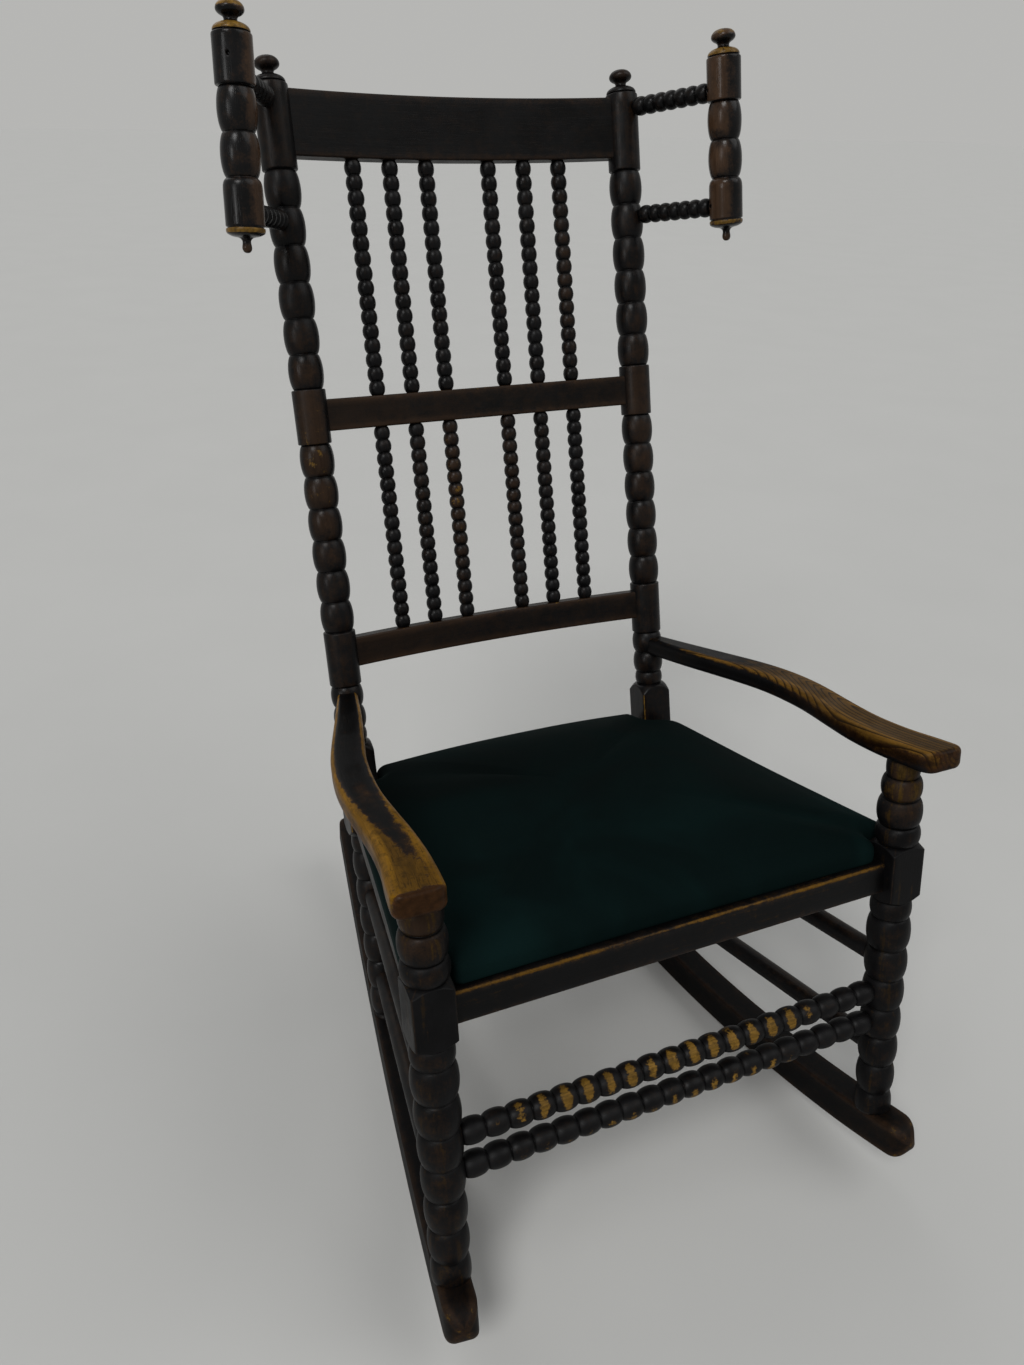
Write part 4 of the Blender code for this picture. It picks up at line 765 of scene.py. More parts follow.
def wood_finish(name):
    """Ebonised wood: black film over brown, worn through to gold, with fibres, pores, and dirt and painted
    shade in the grooves.
    """
    look = {**COMMON_WOOD, **WOODS[name]}
    colours = bpy.context.scene.chair_finishes
    black = tuple(colours.ebony)
    brown, gold = (shaded(getattr(colours, label), share) for label, share in (look["brown"], look["gold"]))
    finish, w, shader = principled(name)
    own = w.attribute("grain", "Vector")
    sawn = w.turned(own, *look["turn"])
    fibres = w.group(shared_group("wood_fibres", fibre_group), Vector=sawn, **look["grain"])
    if look["arch"]:
        w.feed(fibres.inputs["Arch"], w.spread(w.part(own, "Z"), *look["arch"]))
    streak, ring, pore = (fibres.outputs[label] for label in ("Streak", "Ring", "Pore"))
    worn = shared_group("worn_through", worn_group)
    masks = {}
    for layer, edge in (("rubbed", RUBBED_EDGE), ("bare", look["edge"])):
        mask = w.group(worn, Amount=w.attribute(layer), Vector=own, Streak=streak, **edge)
        masks[layer] = mask.outputs["Mask"]
    rubbed, bare = masks["rubbed"], masks["bare"]
    mottle = w.noise(own, 24.0, 4.0, 0.6)
    dirt = w.noise(own, 130.0, 6.0, 0.7, 0.3)
    speck = w.noise(own, 900.0, 2.0, 0.6)
    film = w.mixed(w.spread(mottle, 0.35, 0.7), black, shaded(black, 1.8))
    film = w.mixed(w.share(pore, 0.35), film, shaded(black, 0.4))
    earth = w.mixed(streak, shaded(brown, 0.45), shaded(brown, 1.15))
    earth = w.mixed(w.share(ring, 0.5 * look["rings"]), earth, shaded(brown, 0.25))
    film = w.mixed(rubbed, film, earth)
    pale = w.mixed(streak, shaded(gold, 0.45), shaded(gold, 1.25))
    for stain, (low, high, most, shade) in zip((mottle, dirt, speck), STAINS):
        pale = w.mixed(w.spread(stain, low, high, 0.0, most * look["soil"]), pale, shaded(gold, shade))
    pale = w.mixed(w.share(ring, look["rings"]), pale, shaded(gold, 0.07))
    pale = w.mixed(w.share(pore, 0.55), pale, shaded(gold, 0.08))
    # Colour halved where the crest share is 0: dirt and painted shade in the grooves and holes. The broad
    # faces of sawn pieces, away from their edges, are halved the same way.
    groove_dirt_and_shade = w.spread(w.attribute("crest"), 0.0, 0.55, 0.5, 1.0)
    w.feed(shader.inputs["Base Color"], w.times(w.mixed(bare, film, pale), groove_dirt_and_shade))
    shine = w.spread(mottle, 0.3, 0.75, *look["gloss"])
    shine = w.maths("ADD", shine, w.share(bare, 0.07))
    w.feed(shader.inputs["Roughness"], w.maths("ADD", shine, w.share(pore, 0.06)))
    height = w.maths("SUBTRACT", w.share(streak, 0.35), w.share(pore, 0.25))
    height = w.maths("SUBTRACT", height, w.share(bare, 0.5))
    w.bump(shader, w.maths("ADD", height, w.share(mottle, 0.6)), 0.35, 0.0006)
    shader.inputs["Specular IOR Level"].default_value = look["specular"]
    return finish


def shared_finish(name, build=wood_finish):
    """A material that is made once."""
    return bpy.data.materials.get(name) or build(name)


# Sizes and finishes


def size_property(label, words, default):
    return bpy.props.FloatProperty(
        name=label, description=words, default=default, unit="LENGTH", precision=4
    )


def colour_property(label, words, default):
    return bpy.props.FloatVectorProperty(
        name=label, description=words, default=default, subtype="COLOR", size=3, min=0, max=1
    )


class ChairSizes(bpy.types.PropertyGroup):
    """Sizes of the turned and sawn work."""

    leg_groove: size_property("Leg groove", "Radius of legs and posts in the grooves", LEG_GROOVE)
    spindle_groove: size_property("Spindle groove", "Radius of the spindles in the grooves", SPINDLE_GROOVE)
    rail_edge: size_property("Rail edge", "Rounding of the rails' worn edges", RAIL_EDGE)
    arm_edge: size_property("Arm edge", "Rounding of the arms' edges", ARM_EDGE)


class ChairFinishes(bpy.types.PropertyGroup):
    """Colours of the finishes."""

    ebony: colour_property("Ebony", "The black film over the wood", (0.0024, 0.0023, 0.0025))
    brown: colour_property("Rubbed brown", "Wood where the film is rubbed thin", (0.0260, 0.0140, 0.0075))
    gold: colour_property("Bare gold", "Wood where the film is worn through", (0.200, 0.108, 0.017))
    arm_gold: colour_property("Arm gold", "Bare wood of the left arm", (0.195, 0.092, 0.0050))
    arm_amber: colour_property("Arm amber", "Bare wood of the right arm", (0.140, 0.068, 0.0095))
    arm_brown: colour_property("Arm brown", "Wood of the arms under thin film", (0.062, 0.026, 0.0085))
    velvet: colour_property("Velvet", "Pile of the seat", (0.0013, 0.0046, 0.0044))
    floor: colour_property("Floor", "The pale floor", (0.50, 0.497, 0.480))


# Pieces


def rocker_top(place):
    """The height, in a leaning piece's frame, at which lines beside its axis meet the rocker's top arc."""

    def meet(x, y):
        height = np.zeros_like(x)
        for _ in range(30):
            point = at_place(place, np.stack((x, y, height), axis=-1))
            inner = ROCKER_RADIUS - ROCKER_DEPTH
            arc = ROCKER_CENTRE - np.sqrt(inner**2 - point[..., 1] ** 2)
            height = height - (point[..., 2] - arc) / place[2, 2]
        return height - FOOT_SINK

    return meet


def rocker_splay():
    """How the rockers run: x at the resting point, and the change of x per metre back."""
    feet = []
    for x, place in ((LEG_X, LEVEL @ moved(0, LEG_Y, 0)), (POST_X, BACK)):
        height = rocker_top(place)(np.zeros(1), np.zeros(1))
        feet.append((x, at_place(place, (0, 0, height[0]))[1]))
    splay = (feet[1][0] - feet[0][0]) / (feet[1][1] - feet[0][1])
    return feet[0][0] - splay * feet[0][1], splay


class CHAIR_OT_rockers(bpy.types.Operator):
    """Two rockers: a bar bent on an arc, flat where it rests, with rounded tongues at its ends"""

    bl_idname = "chair.rockers"
    bl_label = "Rockers"

    def execute(self, context):
        finish = shared_finish("rocker_wood")
        half = ROCKER_DEPTH / 2
        middle_radius = ROCKER_RADIUS - half
        end = math.asin((ROCKER_REACH - half) / middle_radius) + half / middle_radius
        ease = (1 - np.cos(np.linspace(0, math.pi / 2, ROCKER_END_ROWS))) * half * 1.2 / middle_radius
        between = np.linspace(-end + ease[-1], end - ease[-1], ROCKER_ROWS)[1:-1]
        turn = np.concatenate((-end + ease, between, (end - ease)[::-1]))
        tip = (end - np.abs(turn)) * middle_radius
        deep = np.sqrt(np.clip(half**2 - np.clip(half - tip, 0, half) ** 2, 1e-9, None))
        before = np.clip(1 - tip / ROCKER_TONGUE, 0, 1)
        wide = ROCKER_WIDTH / 2 * np.sqrt(np.clip(1 - before**3, 1e-4, None))
        round_edge = ROCKER_EDGE * (1 + smooth_step(0.10, 0.0, tip))
        round_edge = np.minimum(round_edge, np.minimum(deep, wide) * 0.98)
        x, splay = rocker_splay()
        for word, side in SIDES.items():
            ahead = np.array((side * splay, 1, 0)) / math.hypot(splay, 1)
            level = np.array((ahead[1], -ahead[0], 0))
            foot = np.array((side * x, 0, 0))
            centres = foot + np.outer(middle_radius * np.sin(turn), ahead)
            centres[:, 2] = ROCKER_CENTRE - middle_radius * np.cos(turn)
            up = np.outer(-np.sin(turn), ahead)
            up[:, 2] = np.cos(turn)
            across = np.broadcast_to(level, centres.shape)
            surface = bar(centres, across, up, wide, deep, round_edge, np.eye(4), turn * middle_radius)
            surface.at[..., 2] = np.maximum(surface.at[..., 2], 0)
            front = smooth_step(-0.30, -0.41, surface.at[..., 1])
            tips = smooth_step(0.05, 0.012, tip)[:, None]
            surface.rubbed = 0.24 + 0.20 * front + 0.22 * surface.crest
            surface.bare = tips * (0.04 + 0.30 * surface.crest**3)
            dress(surface, word + "_rocker", "bent", finish)
        return {"FINISHED"}


def leg_profile(groove):
    """Stump, block, collar and bobbins of a front leg, from the arm's underside down past the rocker."""
    rise = ARM_UNDERSIDE - LEG_BLOCK_TOP
    heights = [ARM_UNDERSIDE - share * rise for share in STUMP_SHARES]
    tenon = np.array(((LEG_TENON, ARM_UNDERSIDE + 0.012, 1), (LEG_TENON, ARM_UNDERSIDE + 0.0005, 1)))
    parts = [tenon]
    for top, bottom, radius in zip(heights, heights[1:], STUMP_RADII):
        parts.append(bobbin_row(top, bottom, 1, radius, max(STUMP_NECK, radius - STUMP_DEPTH), 0.52))
    block = (LEG_BLOCK_TOP, LEG_BLOCK_BOTTOM, LEG_BLOCK / 2)
    parts += square_length(*block, LEG_COLLAR_NECK, LEG_SHOULDER, LEG_STRAIGHT, 14)
    collar = LEG_BLOCK_BOTTOM - LEG_COLLAR
    parts.append(bobbin_row(LEG_BLOCK_BOTTOM, collar, 1, LEG_COLLAR_RADIUS, LEG_COLLAR_NECK, 0.52))
    for index, radius in enumerate(np.linspace(*LEG_TAPER, LEG_BOBBINS)):
        top = collar - index * LEG_PITCH
        parts.append(bobbin_row(top, top - LEG_PITCH, 1, radius, groove + radius - LEG_SHELF, 0.54))
    return joined(*parts)


def standing(profile, place, columns, stock):
    """The surface of a leg or post that stands on its rocker."""
    ground = rocker_top(place)
    low = ground(np.zeros(1), np.zeros(1))[0] - FOOT_SPARE
    return turning(profile[profile[:, 1] > low], place, columns, stock, ground)


class CHAIR_OT_front_legs(bpy.types.Operator):
    """Two front legs, turned above and below a square block"""

    bl_idname = "chair.front_legs"
    bl_label = "Front legs"

    def execute(self, context):
        finish = shared_finish("leg_ebony")
        profile = leg_profile(context.scene.chair_sizes.leg_groove)
        for word, side in SIDES.items():
            place = LEVEL @ moved(side * LEG_X, LEG_Y, 0)
            stock = (LEG_BLOCK / 2, LEG_BLOCK_BOTTOM, LEG_BLOCK_TOP)
            surface = standing(profile, place, LEG_COLUMNS, stock)
            height = surface.own[..., 2]
            front = surface.facing((-0.5, -1, 0.35), 75)
            stump = smooth_step(LEG_BLOCK_TOP + 0.02, ARM_UNDERSIDE - 0.03, height)
            inward = surface.facing((-0.6, -1, 0.1), 95)
            rubbed = 0.08 + 0.22 * front * surface.crest + 0.06 * (side < 0) + 0.58 * stump * inward
            block = (height < LEG_BLOCK_TOP) & (height > LEG_BLOCK_BOTTOM)
            corners = 0.10 + 0.45 * smooth_step(0.86, 1, surface.crest)
            surface.rubbed = np.where(block, corners, rubbed)
            surface.bare = stump * inward * (0.4 + 0.6 * surface.crest) * (0.52 if side > 0 else 0.26)
            dress(surface, word + "_front_leg", "turned", finish)
        return {"FINISHED"}


FINIAL_SHAPE = (
    (0.0, 0.0260),
    (0.0052, 0.0257),
    (0.0094, 0.0243),
    (0.0124, 0.0216),
    (0.0135, 0.0185),
    (0.0128, 0.0160),
    (0.0105, 0.0139),
    (0.0080, 0.0126),
    (0.0067, 0.0111),
    (0.0064, 0.0097),
    (0.0070, 0.0083),
)
SHOULDER_SHAPE = ((0.0090, 0.0073), (0.0126, 0.0062), (0.0157, 0.0044), (0.0174, 0.0022), (0.0178, 0.0004))
GROOVE_SHAPE = ((0.0176, -0.0001), (0.0165, -0.0006), (0.0166, -0.0011))
RIM_SHAPE = ((-0.0016, -0.0013), (-0.0005, -0.0018), (0.0, -FINIAL_RIM))


def finial(base, collar):
    """A flattened knob on a hollow neck above a round shoulder, a fine groove, and the rim of a collar."""
    knob = drawn([(radius, base + rise) for radius, rise in FINIAL_SHAPE + SHOULDER_SHAPE], 6)
    groove = drawn([(radius, base + rise) for radius, rise in GROOVE_SHAPE], 3)
    rim = drawn([(collar + more, base + rise) for more, rise in RIM_SHAPE], 3)
    return joined(knob, groove, rim)


def post_profile(groove):
    """A back post from its finial down past the rocker."""
    crest_low, crest_high = CREST_PLAIN
    mid_low, mid_high = MID_PLAIN
    low_low, low_high = LOWER_PLAIN
    ring = POST_BLOCK_TOP + POST_RING
    parts = [finial(crest_high, POST_RADIUS)]
    parts.append(plain(crest_high - FINIAL_RIM, crest_low, POST_RADIUS)[5:])
    parts.append(bobbin_row(crest_low, mid_high, POST_BOBBINS["upper"], POST_CREST, groove))
    parts.append(plain(mid_high, mid_low, POST_RADIUS))
    parts.append(bobbin_row(mid_low, low_high, POST_BOBBINS["lower"], POST_CREST, groove))
    parts.append(plain(low_high, low_low, POST_RADIUS))
    parts.append(bobbin_row(low_low, ring, POST_BOBBINS["arm"], POST_CREST, groove))
    parts.append(bobbin_row(ring, POST_BLOCK_TOP, 1, POST_COLLAR_RADIUS, POST_COLLAR_NECK))
    block = (POST_BLOCK_TOP, POST_BLOCK_BOTTOM, POST_BLOCK / 2)
    parts += square_length(*block, POST_SHOULDER_NECK, POST_SHOULDER, POST_STRAIGHT, 16)
    collar = POST_BLOCK_BOTTOM - LEG_COLLAR
    parts.append(bobbin_row(POST_BLOCK_BOTTOM, collar, 1, POST_COLLAR_RADIUS, POST_COLLAR_NECK))
    count = POST_BOBBINS["foot"]
    parts.append(bobbin_row(collar, collar - count * LEG_PITCH, count, POST_CREST, groove))
    return joined(*parts)


class CHAIR_OT_back_posts(bpy.types.Operator):
    """Two back posts, from rocker to finial"""

    bl_idname = "chair.back_posts"
    bl_label = "Back posts"

    def execute(self, context):
        finish = shared_finish("turned_ebony")
        profile = post_profile(context.scene.chair_sizes.leg_groove)
        for word, side in SIDES.items():
            place = BACK @ moved(side * POST_X, 0, 0)
            stock = (POST_BLOCK / 2, POST_BLOCK_BOTTOM, POST_BLOCK_TOP)
            surface = standing(profile, place, POST_COLUMNS, stock)
            height = surface.own[..., 2]
            front = surface.facing((-0.3, -1, 0), 70)
            near_mid = np.exp(-(((height - 0.44) / 0.10) ** 2))
            strength = 0.55 if side < 0 else 0.30
            surface.rubbed = 0.20 + (0.18 + strength * near_mid) * front * surface.crest
            surface.rubbed += 0.25 * smooth_step(0.835, 0.86, height)
            block = (height < POST_BLOCK_TOP) & (height > POST_BLOCK_BOTTOM)
            edge = block * smooth_step(0.9, 1, surface.crest) * surface.facing((-1, -1, 0), 40)
            surface.bare = 0.72 * edge + 0.34 * near_mid * front * surface.crest * (side < 0)
            dress(surface, word + "_back_post", "turned", finish)
        return {"FINISHED"}


class CHAIR_OT_back_rails(bpy.types.Operator):
    """Crest, mid and lower rail of the back, each bowed between the posts"""

    bl_idname = "chair.back_rails"
    bl_label = "Back rails"

    def execute(self, context):
        finish = shared_finish("rail_wood")
        edge = context.scene.chair_sizes.rail_edge
        reach = POST_X - BACK_RAIL_SINK
        x = np.linspace(-reach, reach, 130)
        centres = np.column_stack((x, bow(x), 0 * x))
        up = np.broadcast_to((0, 0, 1.0), centres.shape)
        across = np.cross(unit(np.gradient(centres, axis=0)), up)
        rails = {"crest_rail": CREST_RAIL, "mid_rail": MID_RAIL, "lower_rail": LOWER_RAIL}
        for node, (middle, height) in rails.items():
            place = BACK @ moved(0, 0, middle)
            surface = bar(centres, across, up, BACK_RAIL_THICKNESS / 2, height / 2, edge, place, x)
            share = surface.at[..., 0] / POST_X
            front = surface.facing((0, -1, 0), 60)
            top = smooth_step(0.75, 1, surface.tall)
            if node == "crest_rail":
                surface.rubbed = 0.25 + 0.22 * surface.crest
                surface.bare = 0.12 * top * surface.crest
            else:
                left = smooth_step(0.2, -0.9, share)
                surface.rubbed = 0.42 + 0.26 * left * front + 0.25 * surface.crest
                surface.bare = 0.30 * top * surface.crest
            dress(surface, node, "bowed", finish)
        return {"FINISHED"}


class CHAIR_OT_spindles(bpy.types.Operator):
    """Twelve bobbin spindles, six on each tier"""

    bl_idname = "chair.spindles"
    bl_label = "Spindles"

    # How rubbed each spindle is, from left to right, and where along its length it is rubbed most
    rubbing = {"upper": (0.1, 0.1, 0.12, 0.18, 0.1, 0.62), "lower": (0.12, 0.35, 0.95, 0.66, 0.25, 0.1)}
    rubbed_at = {"upper": 0.55, "lower": 0.35}

    def execute(self, context):
        finish = shared_finish("turned_ebony")
        groove = context.scene.chair_sizes.spindle_groove
        tiers = {"upper": (CREST_RAIL, MID_RAIL), "lower": (MID_RAIL, LOWER_RAIL)}
        for tier, (above, below) in tiers.items():
            top = above[0] - above[1] / 2
            bottom = below[0] + below[1] / 2
            row = bobbin_row(top, bottom, SPINDLE_BOBBINS, SPINDLE_CREST, groove, 0.74, 12)
            profile = tenoned(row, SPINDLE_TENON, SPINDLE_SINK, SPINDLE_GAP)
            for index, x in enumerate(SPINDLE_XS):
                place = BACK @ moved(x, float(bow(x)), 0)
                surface = turning(profile, place, SPINDLE_COLUMNS)
                share = (top - surface.own[..., 2]) / (top - bottom)
                front = surface.facing((-0.4, -1, 0.2), 80)
                length = np.exp(-(((share - self.rubbed_at[tier]) / 0.45) ** 2))
                amount = self.rubbing[tier][index] * length * front * surface.crest
                surface.rubbed = 0.16 + 0.75 * amount
                surface.bare = 0.42 * amount
                dress(surface, f"{tier}_spindle_{index + 1}", "turned", finish)
        return {"FINISHED"}


# By how much the radius is less than the wing post's, and how far down: the upper end of the lower block,
# the groove under that block, and the disc under the groove
WING_BARREL_SHAPE = ((0.0016, 0.0030), (0.0004, 0.0065), (0.0, 0.0110))
WING_GROOVE_SHAPE = ((0.0016, 0.0), (0.0015, 0.0006))
WING_DISC_SHAPE = ((0.0002, 0.0012), (0.0, 0.0032), (0.0012, 0.0058))
# The peg's neck, as radii and how far down, and its knob, as radii and heights above its tip
WING_NECK_SHAPE = ((0.0135, 0.0080), (0.0072, 0.0094), (0.0046, 0.0116), (0.0042, 0.0140))
WING_PEG_SHAPE = ((0.0047, 0.0062), (0.0047, 0.0038), (0.0036, 0.0014), (0.0018, 0.0002), (0.0, 0.0))


def wing_profile():
    """A wing post from its finial to its hanging peg, above the peg's tip."""
    top, bottom = WING_BLOCK_TOP, WING_BLOCK_BOTTOM
    parts = [finial(WING_CAP_TOP, WING_RADIUS)]
    parts.append(plain(WING_CAP_TOP - FINIAL_RIM, WING_CAP_BOTTOM, WING_RADIUS, steps=44)[5:])
    parts.append(bobbin_row(WING_CAP_BOTTOM, top, 2, WING_RADIUS, WING_GROOVE, 0.62, 18))
    barrel = [(WING_RADIUS - less, top - drop) for less, drop in WING_BARREL_SHAPE]
    parts.append(drawn([(WING_GROOVE, top), *barrel], 5))
    parts.append(drawn([(WING_RADIUS, top - 0.012), (WING_RADIUS, bottom + 0.001)], 34))
    parts.append(drawn([(WING_RADIUS - less, bottom - drop) for less, drop in WING_GROOVE_SHAPE], 2))
    disc = [(WING_RADIUS - less, bottom - drop) for less, drop in WING_DISC_SHAPE]
    disc += [(radius, bottom - drop) for radius, drop in WING_NECK_SHAPE]
    parts.append(drawn([*disc, *WING_PEG_SHAPE], 6))
    return joined(*parts)


class CHAIR_OT_wings(bpy.types.Operator):
    """Two wings: a hanging post on two bobbin arms, with a sunk pin at each arm"""

    bl_idname = "chair.wings"
    bl_label = "Wings"

    def execute(self, context):
        finish = shared_finish("wing_ebony")
        dull = shared_finish("turned_ebony")
        profile = wing_profile()
        for word, side in SIDES.items():
            tip, head = wing_point(side, WING_TIP), wing_point(side, WING_TOP)
            place = LEVEL @ along(tip, head, (0, 1, 0))
            mouths = [self.pin_line(side, UPPER_ARM_HEIGHT)[0], self.nail_line(side)[0]]
            toward = [np.linalg.inv(place) @ LEVEL @ np.append(mouth, 1) for mouth in mouths]
            focus = [math.atan2(spot[1], spot[0]) for spot in toward]
            surface = turning(profile, place, LEG_COLUMNS, focus=focus)
            for level, height in (("upper", UPPER_ARM_HEIGHT), ("lower", LOWER_ARM_HEIGHT)):
                self.make_arm(word, side, level, height, dull)
                self.make_pin(word, side, level, height, surface, finish)
            if word == "left":
                self.sink(surface, *self.nail_line(side))
            height = surface.own[..., 2]
            over_cap = height - WING_CAP_TOP
            shoulder = smooth_step(-0.0002, 0.0006, over_cap) * smooth_step(0.0085, 0.0062, over_cap)
            knob = smooth_step(0.0175, 0.0215, over_cap)
            under = WING_BLOCK_BOTTOM - height
            ring = smooth_step(0.0060, 0.0048, under) * smooth_step(0.0004, 0.0012, under)
            peg = smooth_step(0.011, 0.004, height)
            strong = 0.88 if side < 0 else 0.56
            surface.bare = strong * np.maximum(np.maximum(shoulder, knob), ring)
            inner = surface.facing((-side, -0.4, 0), 68)
            surface.rubbed = 0.20 + 0.62 * inner * surface.crest + 0.75 * np.maximum(peg, knob)
            dress(surface, word + "_wing_post", "turned", finish)
        return {"FINISHED"}

    def make_arm(self, word, side, level, height, finish):
        start, end = post_point(side, height), wing_point(side, height)
        near, far = WING_ARM_ENDS[0], np.linalg.norm(end - start) - WING_ARM_ENDS[1]
        row = bobbin_row(far, near, WING_ARM_BOBBINS, WING_ARM_CREST, WING_ARM_GROOVE, 0.70)
        profile = tenoned(row, WING_ARM_TENON, TENON_SINK)
        surface = turning(profile, LEVEL @ along(start, end), ROD_COLUMNS)
        surface.rubbed = 0.14 + 0.10 * surface.crest
        dress(surface, f"{word}_{level}_wing_arm", "turned", finish)

    def pin_line(self, side, height):
        """Where a pin comes out of the wing post, and the direction in which it does."""
        start, end = post_point(side, height), wing_point(side, height)
        ahead = unit(end - start)
        across = unit(np.cross((0, 0, 1), ahead))
        inward = across if across[1] < 0 else -across
        return end - ahead * WING_PIN_INSET + inward * WING_PIN_MOUTH, inward

    def nail_line(self, side):
        """Where an old nail hole opens in front of the wing post, and the direction in which it does."""
        ahead = unit(wing_point(side, UPPER_ARM_HEIGHT) - post_point(side, UPPER_ARM_HEIGHT))
        return wing_point(side, UPPER_ARM_HEIGHT + NAIL_RISE) + ahead * WING_RADIUS, ahead

    def sink(self, post, mouth, outward):
        """Dips the post's surface by the depth of a small hole round the line that comes out at mouth, and
        paints shade in the hole.
        """
        aim = LEVEL[:3, :3] @ outward
        off = post.at - at_place(LEVEL, mouth)
        deep = off @ aim
        beside = np.linalg.norm(off - deep[..., None] * aim, axis=-1)
        dip = smooth_step(WING_PIN_RADIUS + 0.0005, WING_PIN_RADIUS - 0.0004, beside)
        dip = HOLE_DEPTH * dip * (deep > -0.006)
        post.at = post.at - dip[..., None] * aim
        # A crest share of 0 halves the finish's colour in the hole: painted shade.
        post.crest = np.where(dip > 0.0004, 0.0, post.crest)

    def make_pin(self, word, side, level, height, post, finish):
        """A pin sunk in a small hole."""
        mouth, inward = self.pin_line(side, height)
        self.sink(post, mouth, inward)
        placed = LEVEL @ along(mouth - inward * WING_PIN_LENGTH, mouth)
        radius = WING_PIN_RADIUS - 0.0003
        head = drawn([(0.0, 0.0217), (0.0010, 0.0216), (radius, 0.0208)], 4)
        rod = np.array(((radius, 0.012, 1), (radius, 0.004, 1)))
        surface = turning(joined(head, rod), placed, WING_PIN_COLUMNS)
        surface.rubbed = np.full(surface.crest.shape, 0.1)
        dress(surface, f"{word}_{level}_wing_pin", "round", finish)


class CHAIR_OT_stretchers(bpy.types.Operator):
    """Two bobbin stretchers in front, two plain ones at each side and one behind"""

    bl_idname = "chair.stretchers"
    bl_label = "Stretchers"

    # How bare each bobbin of the front stretchers is, from left to right: its first ten and its last ten
    wear = {
        "upper": (0, 0.3, 0.66, 0.8, 0.95, 0.95, 0.9, 1, 0.7, 0.9)
        + (1, 1, 1, 1, 1, 0.98, 0.5, 0.25, 0.1, 0),
        "lower": (0.1, 0.3, 0.3, 0.4, 0.4, 0.4, 0.5, 0.5, 0.5, 0.6)
        + (0.6, 0.7, 0.7, 0.75, 0.8, 0.5, 0.3, 0.2, 0.1, 0),
    }
    # Their worn patches: which way they face and how widely, where on each bobbin, and how bare at most
    patches = {"upper": ((0, -1, 0.75), 72, 0.47, 0.98), "lower": ((0, -1, -0.25), 60, 0.50, 0.95)}

    def execute(self, context):
        finish = shared_finish("stretcher_ebony")
        for level, height in FRONT_STRETCHERS.items():
            self.make_front(level, height, finish)
        for word, side in SIDES.items():
            for level, height in SIDE_STRETCHERS.items():
                start = (side * LEG_X, LEG_Y, height)
                self.make_plain(f"{word}_{level}_side_stretcher", start, post_point(side, height), finish)
        ends = [post_point(side, BACK_STRETCHER) for side in SIDES.values()]
        self.make_plain("back_stretcher", *ends, finish)
        return {"FINISHED"}

    def make_front(self, level, height, finish):
        start, end = np.array((-LEG_X, LEG_Y, height)), np.array((LEG_X, LEG_Y, height))
        near = POST_CREST + FRONT_GAP
        far = 2 * LEG_X - near
        row = bobbin_row(far, near, FRONT_BOBBINS, FRONT_CREST, FRONT_GROOVE, 0.56)
        profile = tenoned(row, FRONT_TENON, TENON_SINK)
        surface = turning(profile, LEVEL @ along(start, end), FRONT_COLUMNS)
        share = (surface.own[..., 2] - near) / (far - near)
        place = np.clip(share * FRONT_BOBBINS, 0, FRONT_BOBBINS - 1e-6)
        index = place.astype(int)
        wear = np.array(self.wear[level])[index]
        aim, width, shift, most = self.patches[level]
        off = np.abs(place - index - shift + 0.16 * place / FRONT_BOBBINS)
        turned = np.sqrt(np.clip(1 - surface.facing(aim, width), 0, 1))
        patch = np.clip(1.15 - 0.80 * np.sqrt(turned**2 + (off / 0.25) ** 2), 0, 1)
        surface.bare = np.clip(wear * most * patch, 0, 0.95)
        surface.rubbed = 0.12 + 0.50 * wear * patch
        dress(surface, level + "_front_stretcher", "turned", finish)

    def make_plain(self, node, start, end, finish):
        """A plain round rod that swells a little in its middle."""
        length = np.linalg.norm(np.subtract(end, start))
        run = np.linspace(length - PLAIN_SINK, PLAIN_SINK, 60)
        swell = PLAIN_SWELL * np.sin(math.pi * run / length)
        profile = np.column_stack((PLAIN_RADIUS + swell, run, np.ones(len(run))))
        surface = turning(profile, LEVEL @ along(start, end), ROD_COLUMNS)
        surface.rubbed = 0.22 + 0.2 * surface.facing((0, -0.4, 1), 60)
        dress(surface, node, "round", finish)


